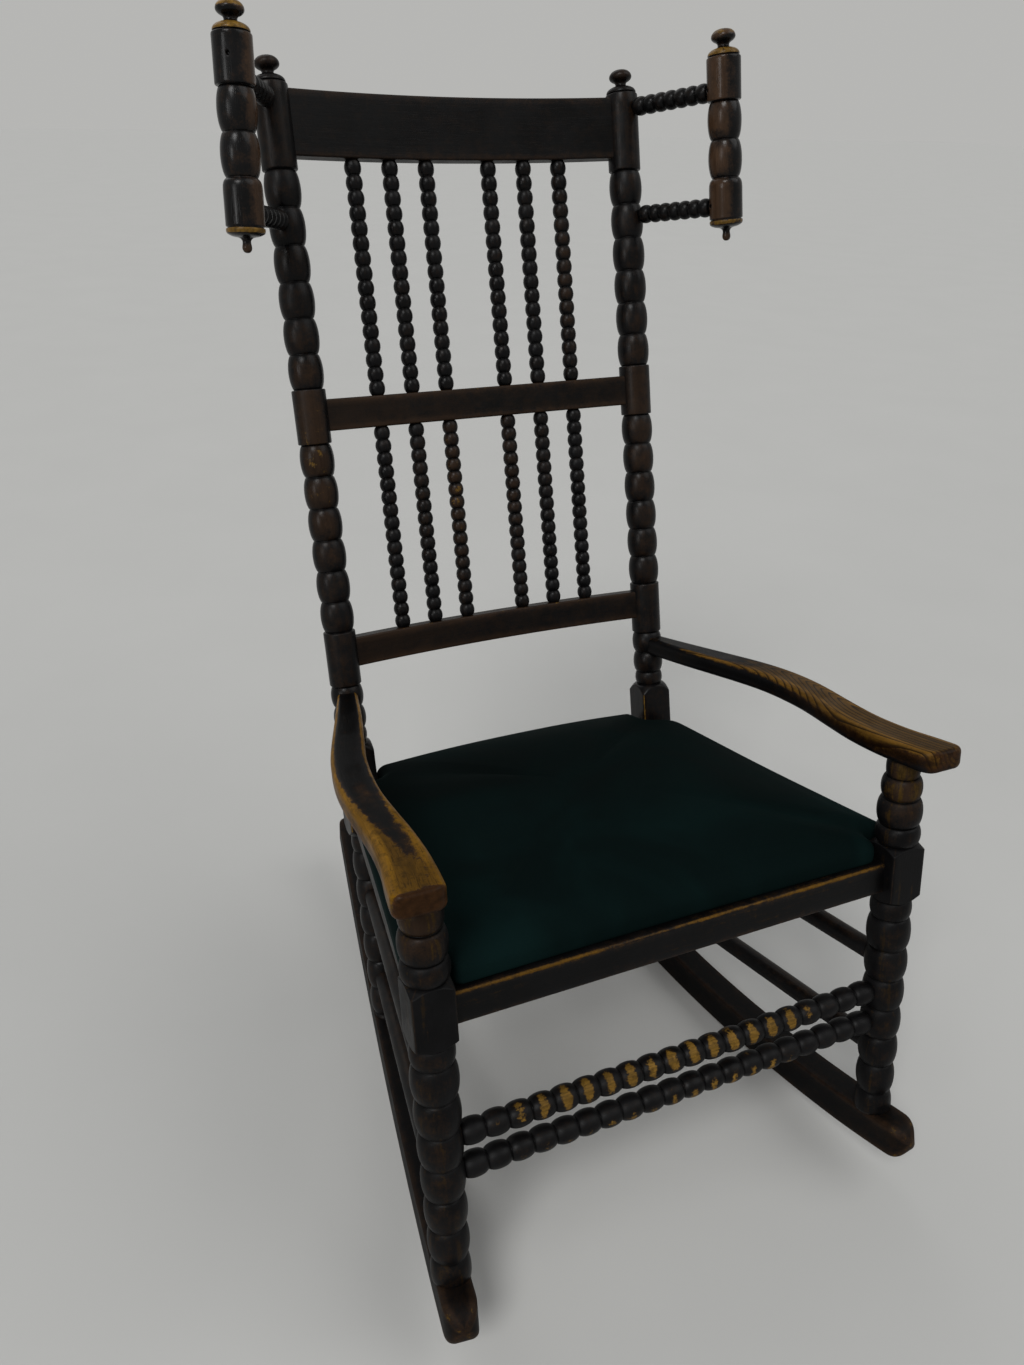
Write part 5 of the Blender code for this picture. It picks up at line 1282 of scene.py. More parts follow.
class CHAIR_OT_seat_rails(bpy.types.Operator):
    """Four seat rails between the blocks of the legs and posts"""

    bl_idname = "chair.seat_rails"
    bl_label = "Seat rails"

    def execute(self, context):
        finish = shared_finish("rail_wood")
        worn = shared_finish("worn_rail_wood")
        edge = context.scene.chair_sizes.rail_edge
        thick, tall = RAIL_THICKNESS / 2, RAIL_HEIGHT / 2
        y = FRONT_RAIL_FACE + thick
        reach = LEG_X - LEG_BLOCK / 2 + RAIL_SINK
        surface = straight_bar((-reach, y, RAIL_MIDDLE), (reach, y, RAIL_MIDDLE), thick, tall, edge, 160)
        front_edge = smooth_step(0.58, 1, surface.tall) * surface.facing((0, -1, 0.6), 70)
        x = surface.at[..., 0]
        patchy = 0.58 + 0.10 * np.sin(41 * x + 0.6) + 0.09 * np.sin(97 * x)
        patchy += 0.10 * smooth_step(-0.25, 0.05, x)
        surface.bare = patchy * front_edge * smooth_step(0.3, 0.9, surface.crest)
        surface.rubbed = 0.16 + 0.34 * surface.crest
        dress(surface, "front_seat_rail", "sawn", worn)
        reach = POST_X - POST_BLOCK / 2 + RAIL_SINK
        start, end = (-reach, POST_Y, RAIL_MIDDLE), (reach, POST_Y, RAIL_MIDDLE)
        surface = straight_bar(start, end, thick, tall, edge)
        surface.rubbed = 0.18 + 0.2 * surface.crest
        dress(surface, "back_seat_rail", "sawn", finish)
        for word, side in SIDES.items():
            front = np.array((side * LEG_X, LEG_Y, RAIL_MIDDLE))
            back = np.array((side * POST_X, POST_Y, RAIL_MIDDLE))
            ahead = unit(back - front)
            start = front + ahead * (LEG_BLOCK / 2 - RAIL_SINK)
            end = back - ahead * (POST_BLOCK / 2 - RAIL_SINK)
            surface = straight_bar(start, end, thick, tall, edge)
            surface.rubbed = 0.20 + 0.25 * surface.crest
            dress(surface, word + "_seat_rail", "sawn", finish)
        return {"FINISHED"}


ARM_REAR_Y = POST_Y + (ARM_UNDERSIDE - RAIL_MIDDLE) * math.tan(POST_RAKE)
ARM_FRONT_Y = LEG_Y - 0.056
ARM_REAR_GAP = 0.008
ARM_END_ROWS = 24
ARM_END_REACH = 0.018
ARM_ROWS = 150
# How far behind the left arm's front end each begins, and how the corners of that end are rounded
ARM_FRONTS = {"left": 0.0, "right": 0.008}
ARM_INNER_ROUND = {"left": 0.010, "right": 0.017}
ARM_OUTER_ROUND = 0.012
# y along the arms, with x of their inner and outer edges there
ARM_PLAN = np.array(
    (
        (ARM_FRONT_Y, 0.2580, 0.3070),
        (-0.330, 0.2545, 0.3025),
        (-0.296, 0.2525, 0.2970),
        (-0.255, 0.2525, 0.2940),
        (-0.210, 0.2545, 0.2942),
        (-0.165, 0.2555, 0.2945),
        (-0.120, 0.2525, 0.2920),
        (-0.075, 0.2462, 0.2850),
        (-0.030, 0.2360, 0.2735),
        (0.050, 0.2175, 0.2495),
        (ARM_REAR_Y, 0.2020, 0.2260),
    )
)

# The right arm was cut a little more wavy than the left: how far it sways out, by y
RIGHT_SWAY = np.array(
    (
        (-0.365, -0.003),
        (-0.330, -0.005),
        (-0.285, -0.008),
        (-0.240, -0.008),
        (-0.190, -0.004),
        (-0.140, 0.002),
        (-0.090, 0.006),
        (-0.040, 0.007),
        (0.010, 0.005),
        (0.070, 0.002),
        (0.130, 0.0),
    )
)

# The black tongue left on the left arm, by the share of the way back: its half width and its middle, as
# shares of the arm's half width, and how ragged its edges are
TONGUE_WIDTH = (
    (0.10, 0.152, 0.20, 0.27, 0.405, 0.505, 0.62, 1.0),
    (-0.3, 0.04, 0.28, 0.50, 0.80, 0.84, 0.80, 0.74),
)
TONGUE_MIDDLE = ((0.12, 0.27, 0.405, 1.0), (-0.14, 0.0, -0.04, 0.02))
TONGUE_RAGGED = ((0.1, 0.3, 0.5, 0.8), (0.55, 0.42, 0.20, 0.12))


class CHAIR_OT_arms(bpy.types.Operator):
    """Two arms: boards swept in towards the posts, worn through to gold"""

    bl_idname = "chair.arms"
    bl_label = "Arms"

    def execute(self, context):
        edge = context.scene.chair_sizes.arm_edge
        line = smooth_line(ARM_PLAN, 16)
        bend = smooth_line(RIGHT_SWAY, 12)
        for word, side in SIDES.items():
            front = ARM_FRONT_Y + ARM_FRONTS[word]
            ease = (1 - np.cos(np.linspace(0, math.pi / 2, ARM_END_ROWS))) * ARM_END_REACH
            run = np.linspace(front + ease[-1], ARM_REAR_Y - ARM_REAR_GAP, ARM_ROWS)
            y = np.concatenate((front + ease, run[1:]))
            sway = np.interp(y, bend[:, 0], bend[:, 1]) if side > 0 else 0.0
            inner = np.interp(y, line[:, 0], line[:, 1]) + sway
            outer = np.interp(y, line[:, 0], line[:, 2]) + sway
            inner = inner + self.rounded_off(y - front, ARM_INNER_ROUND[word])
            outer = outer - self.rounded_off(y - front, ARM_OUTER_ROUND)
            tall = ARM_THICKNESS / 2 - 0.85 * self.rounded_off(y - front, edge)
            rounding = np.minimum(edge, tall * 0.96)
            middle = np.full(len(y), ARM_UNDERSIDE + ARM_THICKNESS / 2)
            centres = np.column_stack((side * (inner + outer) / 2, y, middle))
            across = np.broadcast_to((float(side), 0, 0), centres.shape)
            up = np.broadcast_to((0, 0, 1.0), centres.shape)
            surface = bar(centres, across, up, (outer - inner) / 2, tall, rounding, LEVEL, y)
            self.wear(surface, side, (y - front) / (ARM_REAR_Y - front))
            finish = shared_finish(word + "_arm_wood")
            dress(surface, word + "_arm", "sawn", finish, np.zeros(3))
        return {"FINISHED"}

    def rounded_off(self, tip, radius):
        """How far a quarter round of that radius draws a side in, at a distance tip behind the end."""
        return radius - np.sqrt(np.clip(radius**2 - np.clip(radius - tip, 0, radius) ** 2, 0, None))

    def wear(self, surface, side, share):
        """The left arm keeps a black tongue behind its front third; the right is bare but behind and below.

        share runs from 0 at the front to 1 at the rear, across from the inner edge to the outer one, and
        tall upwards.
        """
        share = share[:, None]
        across, tall = surface.across, surface.tall
        top = smooth_step(0.25, 0.95, tall)
        lower = smooth_step(-0.95, 0.35, tall)
        front = smooth_step(0.016, 0.004, share)
        if side < 0:
            half = np.interp(share, *TONGUE_WIDTH)
            middle = np.interp(share, *TONGUE_MIDDLE)
            ragged = np.interp(share, *TONGUE_RAGGED)
            tongue = smooth_step(ragged, -ragged, np.abs(across - middle) - half)
            tongue = tongue * smooth_step(0.75, 0.98, tall)
            side_gold = 0.26 + 0.46 * lower * smooth_step(1.0, 0.55, share)
            speckled = 0.30 * smooth_step(0.30, 0.16, share) * smooth_step(0.55, -0.35, across)
            bare = (side_gold + (0.95 - speckled - side_gold) * top) * (1 - tongue)
            scuffed = np.exp(-(((share - 0.40) / 0.05) ** 2) - ((across + 0.1) / 0.5) ** 2)
            surface.bare = (bare + 0.30 * scuffed * tongue) * (1 - front)
            surface.rubbed = 0.75 - 0.62 * tongue + 0.40 * scuffed * tongue + 0.90 * front
            # A smaller crest share makes the finish darker on the front end face.
            surface.crest = surface.crest * (1 - 0.88 * front)
        else:
            ahead = smooth_step(0.80, 0.42, share)
            outer = smooth_step(0.10, 1.0, across) * smooth_step(0.48, 0.70, share)
            line = smooth_step(-0.45, -0.85, across) * smooth_step(0.93, 0.80, share)
            line = line * smooth_step(0.55, 0.95, tall)
            bare = np.maximum(top * (0.22 + 0.72 * ahead) * (1 - 0.60 * outer), 0.80 * line)
            inside = smooth_step(0.62, 0.30, share) * lower * (across < 0)
            bare = np.maximum(bare, (0.62 - 0.30 * (1 - top)) * inside)
            surface.bare = bare * (1 - front) + 0.30 * front
            surface.rubbed = 0.14 + 0.60 * np.maximum(top * ahead, inside) + 0.55 * front


# The lift-out seat

# Right half of the pad's plan, from the middle of its front to the middle of its back. Each row holds x, y
# and the rounding of that corner, and the pad hugs the legs and posts with its notches.
PAD_PLAN = (
    (0.2436, -0.3105, 0.012),
    (0.2436, -0.2846, 0.006),
    (0.2830, -0.2846, 0.012),
    (0.2352, 0.0920, 0.028),
    (0.1900, 0.0920, 0.006),
    (0.1900, 0.1345, 0.014),
)
PAD_CENTRE = (0.0, -0.090)
PAD_FOOT = RAIL_TOP + 0.0004
PAD_EDGE = 0.026
PAD_CROWN = 0.0265
PAD_ROUND = 0.018
PAD_PULL = 0.0022
# x of the seat's side edge where y is 0, and its change per metre back
SEAT_SIDE = (0.24594, -0.12685)
# Where the crown is fullest, and how far it reaches from there, back and forward
CROWN_MIDDLE = -0.075
CROWN_REACH = (0.226, 0.240)
CROWN_POWER = (4.0, 2.6)
# The hollow under the pad: rows of its ceiling and of its sides, then rows up the pad's own edge
HOLLOW_INSET = 0.0077
HOLLOW_CEILING = 0.3907
HOLLOW_SHARES = (0.06, 0.22, 0.38, 0.54, 0.70, 0.84, 0.95, 0.995)
HOLLOW_DROPS = (0.0012, 0.0070, 0.0130, 0.0190)
RIM_SHARES = (0.25, 0.6, 1.0)
# The pad's cover as a cloth under pressure
CLOTH = {
    "quality": 6,
    "mass": 0.35,
    "tension_stiffness": 25,
    "compression_stiffness": 25,
    "shear_stiffness": 12,
    "bending_stiffness": 6,
    "use_pressure": True,
    "uniform_pressure_force": 4.0,
}
SIM_FRAMES = 20
SIM_REACH = 0.007
SIM_SINK = 0.0015
SIM_SMOOTHING = 12
RIM_ROWS = 7

# Where the seat frame's front and back pieces end, in y, and the straps that are tacked to the frame
FRAME_SPLITS = (-0.2335, 0.0436)
STRAPS = 4
STRAP_LAP = 0.020
STRAP_INSET = 0.028
STRAP_CLEAR = 0.012
STRAP_CROSSING = 0.026
STRAP_EDGE = 0.0005
STRAP_WIDTH = 0.045
STRAP_THICKNESS = 0.0011
STRAP_LEVEL = 0.38775
STRAP_WEAVE = 0.00062


def rounded_corner(before, corner, after, radius, steps):
    """Points round a corner: the arc of that radius which touches both edges."""
    into = np.subtract(corner, before) / np.linalg.norm(np.subtract(corner, before))
    onward = np.subtract(after, corner) / np.linalg.norm(np.subtract(after, corner))
    bend = math.atan2(into[0] * onward[1] - into[1] * onward[0], into @ onward)
    back = radius * math.tan(abs(bend) / 2)
    side = np.array((-into[1], into[0])) * math.copysign(1, bend)
    middle = corner - into * back + side * radius
    turn = np.linspace(0, 1, steps + 1)[:, None] * bend
    start = -side * radius
    swung = np.column_stack((-start[1] * np.ones(len(turn)), np.full(len(turn), start[0])))
    return middle + np.cos(turn) * start + np.sin(turn) * swung


def pad_outline(inset=0.0, corner_steps=6):
    """The pad's outline, drawn in by inset, with its long edges pulled in between their corners."""
    half = [(x, y) for x, y, _ in PAD_PLAN]
    rounds = [rounding for _, _, rounding in PAD_PLAN]
    corners = np.array(half + [(-x, y) for x, y in reversed(half)])
    radii = rounds + rounds[::-1]
    ahead = np.roll(corners, -1, axis=0) - corners
    ahead /= np.linalg.norm(ahead, axis=1, keepdims=True)
    normal = np.column_stack((-ahead[:, 1], ahead[:, 0]))
    before = np.roll(normal, 1, axis=0)
    miter = inset / (1 + np.sum(before * normal, axis=1, keepdims=True))
    corners = corners + (before + normal) * miter
    bends = []
    for index, corner in enumerate(corners):
        after = corners[(index + 1) % len(corners)]
        bends.append(rounded_corner(corners[index - 1], corner, after, radii[index], corner_steps))
    parts = []
    for index, bend in enumerate(bends):
        start, end = bend[-1], bends[(index + 1) % len(bends)][0]
        length = np.linalg.norm(end - start)
        steps = max(3, round(length / (0.012 if length > 0.1 else 0.007)))
        share = np.linspace(0, 1, steps + 1)[1:-1, None]
        pull = PAD_PULL * np.sin(math.pi * share) ** 0.8 * min(length / 0.3, 1)
        run = start + share * (end - start) + pull * normal[index]
        parts += [bend, run]
    return np.vstack(parts)


def distance_within(points, outline):
    """How far points are from the nearest edge of an outline."""
    start, edge = outline, np.roll(outline, -1, axis=0) - outline
    off = points[:, None] - start[None]
    share = np.clip(np.sum(off * edge, axis=-1) / np.sum(edge * edge, axis=-1), 0, 1)
    return np.linalg.norm(off - share[..., None] * edge, axis=-1).min(axis=1)


def side_edge(y, inset):
    """x of the seat's side edge at y, drawn in by inset."""
    return SEAT_SIDE[0] + SEAT_SIDE[1] * y - inset


def pad_height(x, y, away):
    """Height of the pad's top: a quarter round at the edge, and a crown that is fullest behind the middle.

    With e the distance from the edge over PAD_ROUND, the edge rises as (1 - (1 - e)^2.2)^(1/2.2). The crown
    is (1 - |u|^2.4) * (1 - |v|^n), with u and v the shares of the way from the middle to the sides and the
    ends, and n from CROWN_POWER, behind and in front. Behind, the edge is also up to a seventh taller.
    """
    near = np.clip(away / PAD_ROUND, 0, 1)
    edge = np.clip(1 - (1 - near) ** 2.2, 0, 1) ** (1 / 2.2)
    u = np.clip(np.abs(x) / side_edge(y, 0.0), 0, 1)
    behind = y > CROWN_MIDDLE
    v = np.clip(np.abs(y - CROWN_MIDDLE) / np.where(behind, *CROWN_REACH), 0, 1)
    crown = (1 - u**2.4) * (1 - v ** np.where(behind, *CROWN_POWER))
    tall = PAD_EDGE * (1 + smooth_step(-0.15, 0.10, y) / 7)
    return PAD_FOOT + tall * (0.42 + 0.58 * edge) + PAD_CROWN * crown


def pad_surface():
    """The pad as one closed grid: rows of its outline from the middle of its hollow out, up and over it.

    Every row is the outline shrunk towards the centre by a share. On the crown the height is that of
    pad_height at each point. Returns the points, in rows, and how many rows are underneath.
    """
    outline = pad_outline()
    centre = np.array(PAD_CENTRE)
    out = outline - centre
    angle = np.unwrap(np.arctan2(out[:, 1], out[:, 0]))
    inner = pad_outline(HOLLOW_INSET, 24) - centre
    inner_angle = np.unwrap(np.arctan2(inner[:, 1], inner[:, 0]))
    inner_reach = np.linalg.norm(inner, axis=1)
    turn = 2 * math.pi
    many = np.concatenate((inner_angle - turn, inner_angle, inner_angle + turn))
    reach = np.interp(angle, many, np.tile(inner_reach, 3))
    aim = out / np.linalg.norm(out, axis=1, keepdims=True)
    hollow = aim * reach[:, None]

    def level(plan, height):
        return np.column_stack((plan + centre, np.broadcast_to(height, len(plan))))

    rows = [level(hollow * share, HOLLOW_CEILING) for share in HOLLOW_SHARES]
    rows += [level(hollow, HOLLOW_CEILING - drop) for drop in HOLLOW_DROPS]
    rows.append(level(hollow, PAD_FOOT + 0.0010))
    rows.append(level(hollow * 0.35 + out * 0.65, PAD_FOOT))
    under = len(rows)
    rows.append(level(out - aim * 0.0010, PAD_FOOT + 0.0006))
    start = pad_height(outline[:, 0], outline[:, 1], np.zeros(len(outline)))
    for share in RIM_SHARES:
        rows.append(level(out, PAD_FOOT + share * (start - PAD_FOOT)))
    close = np.linspace(0, 1, 15)[1:] ** 1.8 * 0.13
    for inward in np.concatenate((close, np.linspace(0.13, 0.97, 19)[1:])):
        plan = out * (1 - inward)
        away = distance_within(plan + centre, outline)
        rows.append(level(plan, pad_height(plan[:, 0], plan[:, 1] + centre[1], away)))
    return np.stack(rows), under


def strap_ribbon(start, end, sign, crossings, rows=97):
    """A woven strap: a flat band with soft edges that waves over and under each strap that it crosses."""
    start, end = np.asarray(start, float), np.asarray(end, float)
    length = np.linalg.norm(end - start)
    run = np.linspace(0, 1, rows)
    marks = np.asarray(crossings) / length
    waves = np.zeros(rows)
    for index, mark in enumerate(marks):
        waves += sign * (-1) ** index * np.exp(-(((run - mark) * length / STRAP_CROSSING) ** 2))
    centres = start[None] + run[:, None] * (end - start)
    centres = np.column_stack((centres, STRAP_LEVEL + STRAP_WEAVE * np.clip(waves, -1, 1)))
    aim = (end - start) / length
    across = np.broadcast_to((aim[1], -aim[0], 0.0), centres.shape)
    up = np.broadcast_to((0, 0, 1.0), centres.shape)
    halves = (STRAP_WIDTH / 2, STRAP_THICKNESS / 2)
    return bar(centres, across, up, *halves, STRAP_EDGE, LEVEL, run * length)


class CHAIR_OT_seat(bpy.types.Operator):
    """The velvet pad, its webbing and its frame"""

    bl_idname = "chair.seat"
    bl_label = "Seat"

    def execute(self, context):
        self.make_pad()
        self.make_webbing()
        finish = shared_finish("seat_frame_beech", frame_finish)
        for part in ("front", "back", "left", "right"):
            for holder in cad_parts["seat_frame_" + part].material_slots:
                holder.material = finish
        return {"FINISHED"}

    def make_pad(self):
        rows, under = pad_surface()
        surface = Surface(rows, LEVEL, np.zeros(rows.shape), 1.0)
        mesh = skin("velvet_pad", [surface], np.zeros(3))
        finish = shared_finish("seat_velvet", velvet_finish)
        piece = fit_piece("velvet_pad", mesh, ["seat_pad"], SEAT_BODY, finish)
        mesh.materials.append(shared_finish("seat_hessian", hessian_finish))
        columns = rows.shape[1]
        below = np.zeros(len(mesh.polygons), np.int32)
        below[: (under - 2) * columns] = 1
        below[(len(rows) - 1) * columns : len(rows) * columns] = 1
        mesh.polygons.foreach_set("material_index", below)
        self.swell(piece, under + RIM_ROWS, columns)
        smooth = piece.modifiers.new("smooth", "SUBSURF")
        smooth.levels = smooth.render_levels = 1

    def swell(self, piece, rows, columns):
        """Fills the pad: cloth under pressure, its first rows held underneath and round its rim.

        A point moves by reach * tanh(move / reach), with reach SIM_REACH upwards and SIM_SINK downwards.
        The moves are then smoothed: each becomes half its own and a quarter of each of its two neighbours'.
        """
        scene = bpy.context.scene
        mesh = piece.data
        count = len(mesh.vertices)
        rest = np.empty(count * 3)
        mesh.vertices.foreach_get("co", rest)
        rest = rest.reshape(-1, 3)
        grip = piece.vertex_groups.new(name="held")
        grip.add(list(range(rows * columns)) + [count - 2], 1.0, "REPLACE")
        cloth = piece.modifiers.new("cloth", "CLOTH")
        for label, value in CLOTH.items():
            setattr(cloth.settings, label, value)
        cloth.settings.vertex_group_mass = grip.name
        cloth.settings.effector_weights.gravity = 0
        cloth.collision_settings.use_collision = False
        cloth.point_cache.frame_start = 1
        cloth.point_cache.frame_end = SIM_FRAMES
        for step in range(1, SIM_FRAMES + 1):
            scene.frame_set(step)
        graph = bpy.context.evaluated_depsgraph_get()
        swollen = np.empty(count * 3)
        piece.evaluated_get(graph).data.vertices.foreach_get("co", swollen)
        move = swollen.reshape(-1, 3) - rest
        if not np.isfinite(move).all():
            raise RuntimeError("the pad's cloth ran away")
        far = np.maximum(np.linalg.norm(move, axis=1, keepdims=True), 1e-9)
        rising = move @ LEVEL[:3, 2] > 0
        reach = np.where(rising, SIM_REACH, SIM_SINK)[:, None]
        move *= reach * np.tanh(far / reach) / far
        grid = move[: count - 2].reshape(-1, columns, 3)
        for _ in range(SIM_SMOOTHING):
            grid[1:-1] = grid[1:-1] / 2 + (grid[:-2] + grid[2:]) / 4
            grid[:] = grid / 2 + (np.roll(grid, 1, axis=1) + np.roll(grid, -1, axis=1)) / 4
        piece.modifiers.remove(cloth)
        piece.vertex_groups.remove(grip)
        scene.frame_set(1)
        mesh.vertices.foreach_set("co", (rest + move).ravel())
        mesh.update()

    def make_webbing(self):
        """As many straps each way, woven over and under, with their ends tacked on the seat frame."""
        low, high = FRAME_SPLITS[0] - STRAP_LAP, FRAME_SPLITS[1] + STRAP_LAP
        half = STRAP_WIDTH / 2
        ys = np.linspace(low + half, high - half, STRAPS)
        spread = np.linspace(-1, 1, STRAPS)
        front, back = (spread * (side_edge(y, STRAP_INSET + STRAP_CLEAR) - half) for y in (low, high))
        straps = []
        for index, y in enumerate(ys):
            reach = side_edge(y + half, STRAP_INSET)
            share = (y - low) / (high - low)
            crossing = front + share * (back - front) + reach
            straps.append(strap_ribbon((-reach, y), (reach, y), (-1) ** index, crossing))
        for index in range(STRAPS):
            start, end = (front[index], low), (back[index], high)
            straps.append(strap_ribbon(start, end, -((-1) ** index), ys - low))
        net = skin("webbing_straps", straps, np.zeros(3))
        finish = shared_finish("jute_webbing", webbing_finish)
        fit_piece("webbing_straps", net, ["seat_webbing"], SEAT_BODY, finish)


def velvet_finish(name):
    """Dark velvet: a soft pile that catches light at its edges, brushed in faint patches, with painted
    light: paler in front, darker behind.
    """
    finish, w, shader = principled(name)
    colours = bpy.context.scene.chair_finishes
    place = w.put("TexCoord").outputs["Object"]
    brushed = w.noise(place, 7.0, 3.0, 0.5, 0.6)
    pile = w.noise(place, 1300.0, 2.0, 0.6)
    base = tuple(colours.velvet)
    colour = w.mixed(w.spread(brushed, 0.34, 0.68), shaded(base, 0.75), shaded(base, 1.7))
    colour = w.mixed(w.share(pile, 0.6), colour, shaded(base, 0.3))
    # Painted light: the pile's colour is made paler towards the front and darker behind.
    painted_light_ahead = w.spread(w.part(place, "Y"), -0.40, 0.10, 1.75, 0.55)
    w.feed(shader.inputs["Base Color"], w.times(colour, painted_light_ahead))
    w.feed(shader.inputs["Roughness"], w.spread(brushed, 0.3, 0.7, 0.80, 0.95))
    shader.inputs["Specular IOR Level"].default_value = 0.03
    shader.inputs["Sheen Weight"].default_value = 0.011
    shader.inputs["Sheen Roughness"].default_value = 0.35
    shader.inputs["Sheen Tint"].default_value = (0.10, 0.55, 0.50, 1)
    w.bump(shader, pile, 0.25, 0.0004)
    return finish


def woven_finish(name, pale, dark, pitch, directions, strapped=False):
    """Plain weave: two sets of crossing threads, one over the other by turns, with slubs.

    Strapped threads follow each strap, and others the chair.
    """
    finish, w, shader = principled(name)
    position = w.attribute("grain", "Vector") if strapped else w.put("TexCoord").outputs["Object"]
    threads = []
    for direction in directions:
        wave = w.put("TexWave", wave_type="BANDS", bands_direction=direction, wave_profile="SIN")
        w.feed(wave.inputs["Vector"], position)
        wave.inputs["Scale"].default_value = pitch
        wave.inputs["Distortion"].default_value = 0.6
        wave.inputs["Detail"].default_value = 1.0
        threads.append(wave.outputs["Fac"])
    weave = w.share(*threads)
    slub = w.noise(position, 220.0, 3.0, 0.6)
    colour = w.mixed(weave, dark, pale)
    colour = w.mixed(w.spread(slub, 0.45, 0.75, 0.0, 0.5), colour, dark)
    w.feed(shader.inputs["Base Color"], colour)
    w.feed(shader.inputs["Roughness"], w.spread(weave, 0.0, 1.0, 0.95, 0.82))
    w.bump(shader, weave, 0.5, 0.0005)
    shader.inputs["Specular IOR Level"].default_value = 0.2
    return finish


def hessian_finish(name):
    """Coarse brown hessian across the hollow under the pad."""
    pale, dark = (0.155, 0.105, 0.058), (0.050, 0.032, 0.017)
    return woven_finish(name, pale, dark, 950.0, ("X", "Y"))


def webbing_finish(name):
    """Jute webbing, whose threads run along and across each strap."""
    pale, dark = (0.300, 0.205, 0.110), (0.105, 0.066, 0.034)
    return woven_finish(name, pale, dark, 520.0, ("X", "Z"), strapped=True)


def frame_finish(name):
    """The seat frame's unpolished beech: fine fibres across the chair, flecks and age."""
    finish, w, shader = principled(name)
    place = w.put("TexCoord").outputs["Object"]
    sawn = w.turned(place, None, (0, math.radians(90), 0))
    fibres = w.group(shared_group("wood_fibres", fibre_group), Vector=sawn, Fineness=210.0)
    streak, ring, pore = (fibres.outputs[label] for label in ("Streak", "Ring", "Pore"))
    colour = w.mixed(streak, (0.185, 0.112, 0.052), (0.330, 0.215, 0.110))
    colour = w.mixed(w.share(ring, 0.3), colour, (0.120, 0.070, 0.032))
    colour = w.mixed(w.share(pore, 0.6), colour, (0.085, 0.045, 0.020))
    w.feed(shader.inputs["Base Color"], colour)
    w.feed(shader.inputs["Roughness"], w.spread(streak, 0.0, 1.0, 0.62, 0.78))
    w.bump(shader, streak, 0.3, 0.0005)
    return finish


# Stage

FLOOR_REACH = 30.0
FLOOR_DROP = 0.0005
# Where each lamp shines from, its strength, and how wide it looks in degrees
LAMPS = {
    "key": ((-1.5, -1.5, 2.4), 1.62, 22),
    "window": ((-1.7, -0.9, 0.55), 0.42, 16),
    "fill": ((1.7, -1.1, 2.2), 0.80, 44),
    "rear": ((-0.4, 1.9, 1.9), 0.45, 50),
}
SKY = (0.94, 0.97, 1.0, 1)
SKY_STRENGTH = 0.26
SEEN_SKY = (0.470, 0.469, 0.457, 1)
# The camera: its place, its turns to the right, down and about its axis in degrees, and its focal length
# and the picture's long side in pixels
CAMERA_PLACE = np.array((-0.4789, -0.9279, 1.1298))
CAMERA_TURNS = (24.127, 29.810, -1.827)
FOCAL_LENGTH = 1032.24
PICTURE_SIDE = 1365
SENSOR = 36.0


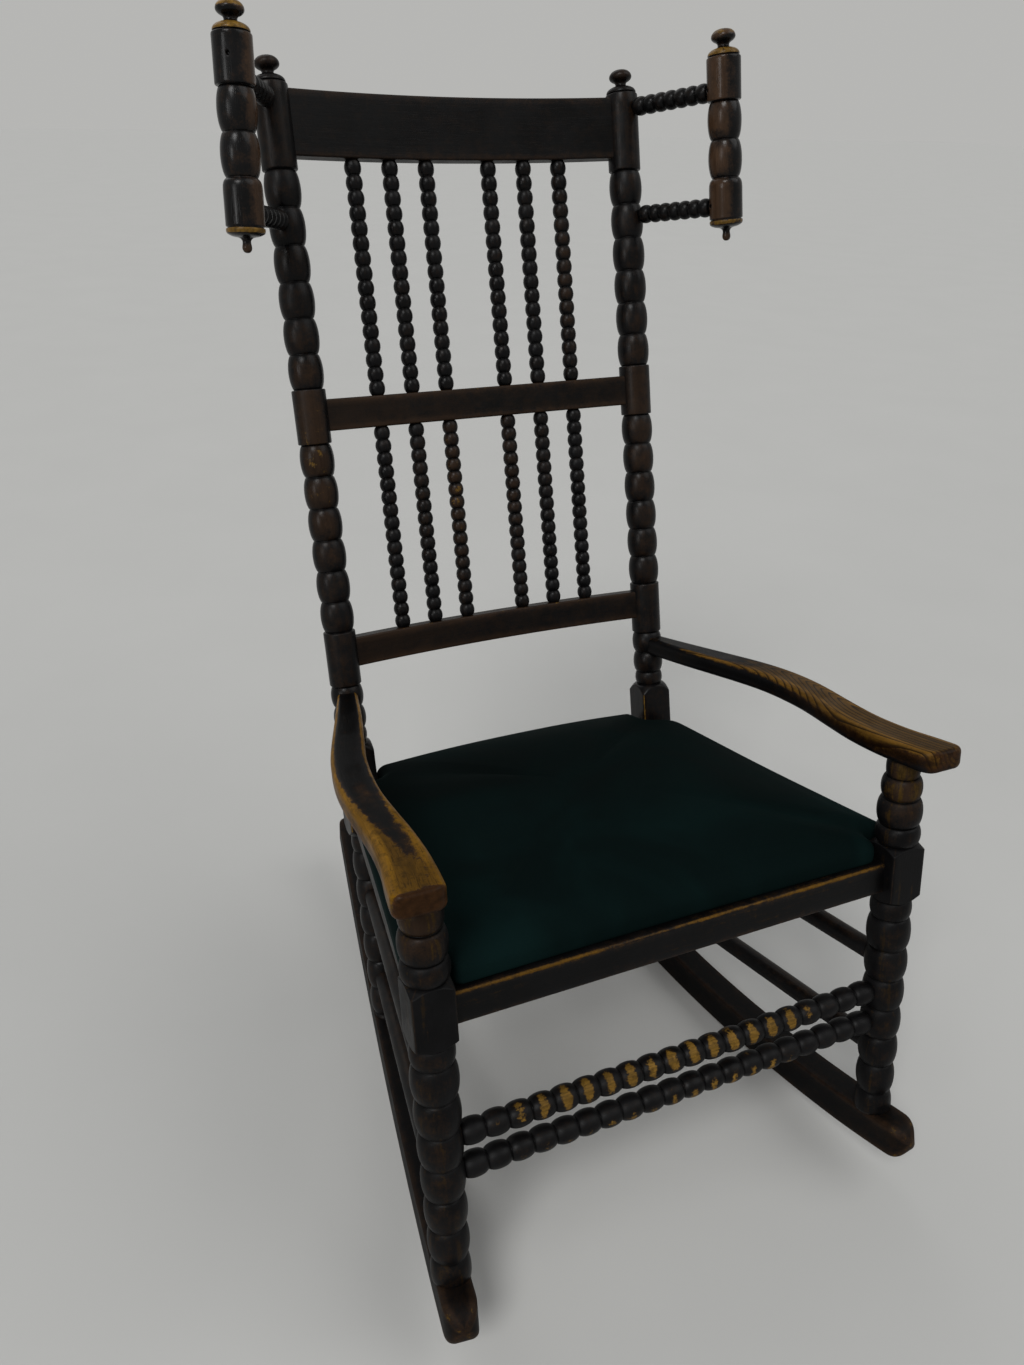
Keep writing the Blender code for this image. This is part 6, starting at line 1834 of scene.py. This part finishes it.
class CHAIR_OT_stage(bpy.types.Operator):
    """Pale floor, soft lights and the camera"""

    bl_idname = "chair.stage"
    bl_label = "Stage"

    def execute(self, context):
        self.make_floor(context)
        self.make_lights(context)
        self.make_camera(context)
        context.scene.view_settings.view_transform = "Standard"
        return {"FINISHED"}

    def make_floor(self, context):
        mesh = bpy.data.meshes.new("floor")
        corners = ((-1, -1), (1, -1), (1, 1), (-1, 1))
        points = [(x * FLOOR_REACH, y * FLOOR_REACH, -FLOOR_DROP) for x, y in corners]
        mesh.from_pydata(points, [], [(0, 1, 2, 3)])
        finish, w, shader = principled("floor_paint")
        place = w.put("TexCoord").outputs["Object"]
        tone = tuple(context.scene.chair_finishes.floor)
        cloud = w.noise(place, 3.0, 4.0, 0.55)
        w.feed(shader.inputs["Base Color"], w.mixed(cloud, tone, shaded(tone, 0.95)))
        w.feed(shader.inputs["Roughness"], w.spread(cloud, 0.3, 0.7, 0.80, 0.90))
        shader.inputs["Specular IOR Level"].default_value = 0.0
        mesh.materials.append(finish)
        floor = bpy.data.objects.new("floor", mesh)
        context.scene.collection.objects.link(floor)

    def make_lights(self, context):
        """Two broad lamps high in front, a low one at the left, one behind, and an even sky.

        The camera sees the sky as pale as the floor.
        """
        for name, (spot, strength, width) in LAMPS.items():
            light = bpy.data.lights.new(name, "SUN")
            light.energy = strength
            light.angle = math.radians(width)
            lamp = bpy.data.objects.new(name, light)
            lamp.matrix_world = Matrix(along(spot, np.multiply(spot, 2)).tolist())
            context.scene.collection.objects.link(lamp)
        world = bpy.data.worlds.new("studio")
        world.use_nodes = True
        w = Wiring(world.node_tree)
        sky = world.node_tree.nodes["Background"]
        sky.inputs["Color"].default_value = SKY
        sky.inputs["Strength"].default_value = SKY_STRENGTH
        seen = w.put("Background")
        seen.inputs["Color"].default_value = SEEN_SKY
        rays = w.put("LightPath").outputs
        mirrored = w.maths("ADD", rays["Is Glossy Ray"], rays["Is Transmission Ray"])
        both = w.put("MixShader")
        w.feed(both.inputs[0], w.maths("ADD", rays["Is Camera Ray"], mirrored))
        w.feed(both.inputs[1], sky.outputs[0])
        w.feed(both.inputs[2], seen.outputs[0])
        w.feed(world.node_tree.nodes["World Output"].inputs["Surface"], both.outputs[0])
        context.scene.world = world

    def make_camera(self, context):
        yaw, pitch, roll = (math.radians(turn) for turn in CAMERA_TURNS)
        level = math.cos(pitch)
        ahead = np.array((math.sin(yaw) * level, math.cos(yaw) * level, -math.sin(pitch)))
        right = unit(np.cross(ahead, (0, 0, 1)))
        up = math.sin(roll) * right - math.cos(roll) * np.cross(ahead, right)
        camera = bpy.data.cameras.new("camera")
        camera.sensor_width = SENSOR
        camera.lens = FOCAL_LENGTH * SENSOR / PICTURE_SIDE
        eye = bpy.data.objects.new("camera", camera)
        eye.matrix_world = Matrix(along(CAMERA_PLACE, CAMERA_PLACE - ahead, up).tolist())
        context.scene.collection.objects.link(eye)
        context.scene.camera = eye


class CHAIR_PT_workshop(bpy.types.Panel):
    """The chair's pieces, sizes and finishes"""

    bl_idname = "CHAIR_PT_workshop"
    bl_label = "Bobbin rocking chair"
    bl_space_type = "VIEW_3D"
    bl_region_type = "UI"
    bl_category = "Chair"

    def draw(self, context):
        for group in (context.scene.chair_sizes, context.scene.chair_finishes):
            for label in group.__annotations__:
                self.layout.prop(group, label)
        for operator in OPERATORS:
            self.layout.operator(operator.bl_idname)


OPERATORS = (
    CHAIR_OT_rockers,
    CHAIR_OT_front_legs,
    CHAIR_OT_back_posts,
    CHAIR_OT_back_rails,
    CHAIR_OT_spindles,
    CHAIR_OT_wings,
    CHAIR_OT_stretchers,
    CHAIR_OT_seat_rails,
    CHAIR_OT_arms,
    CHAIR_OT_seat,
    CHAIR_OT_stage,
)
CLASSES = (ChairSizes, ChairFinishes, *OPERATORS, CHAIR_PT_workshop)


def register():
    for entry in CLASSES:
        bpy.utils.register_class(entry)
    bpy.types.Scene.chair_sizes = bpy.props.PointerProperty(type=ChairSizes)
    bpy.types.Scene.chair_finishes = bpy.props.PointerProperty(type=ChairFinishes)


def unregister():
    del bpy.types.Scene.chair_finishes
    del bpy.types.Scene.chair_sizes
    for entry in reversed(CLASSES):
        bpy.utils.unregister_class(entry)


def main():
    register()
    for operator in OPERATORS:
        group, name = operator.bl_idname.split(".")
        getattr(getattr(bpy.ops, group), name)()


if __name__ == "__main__":
    main()
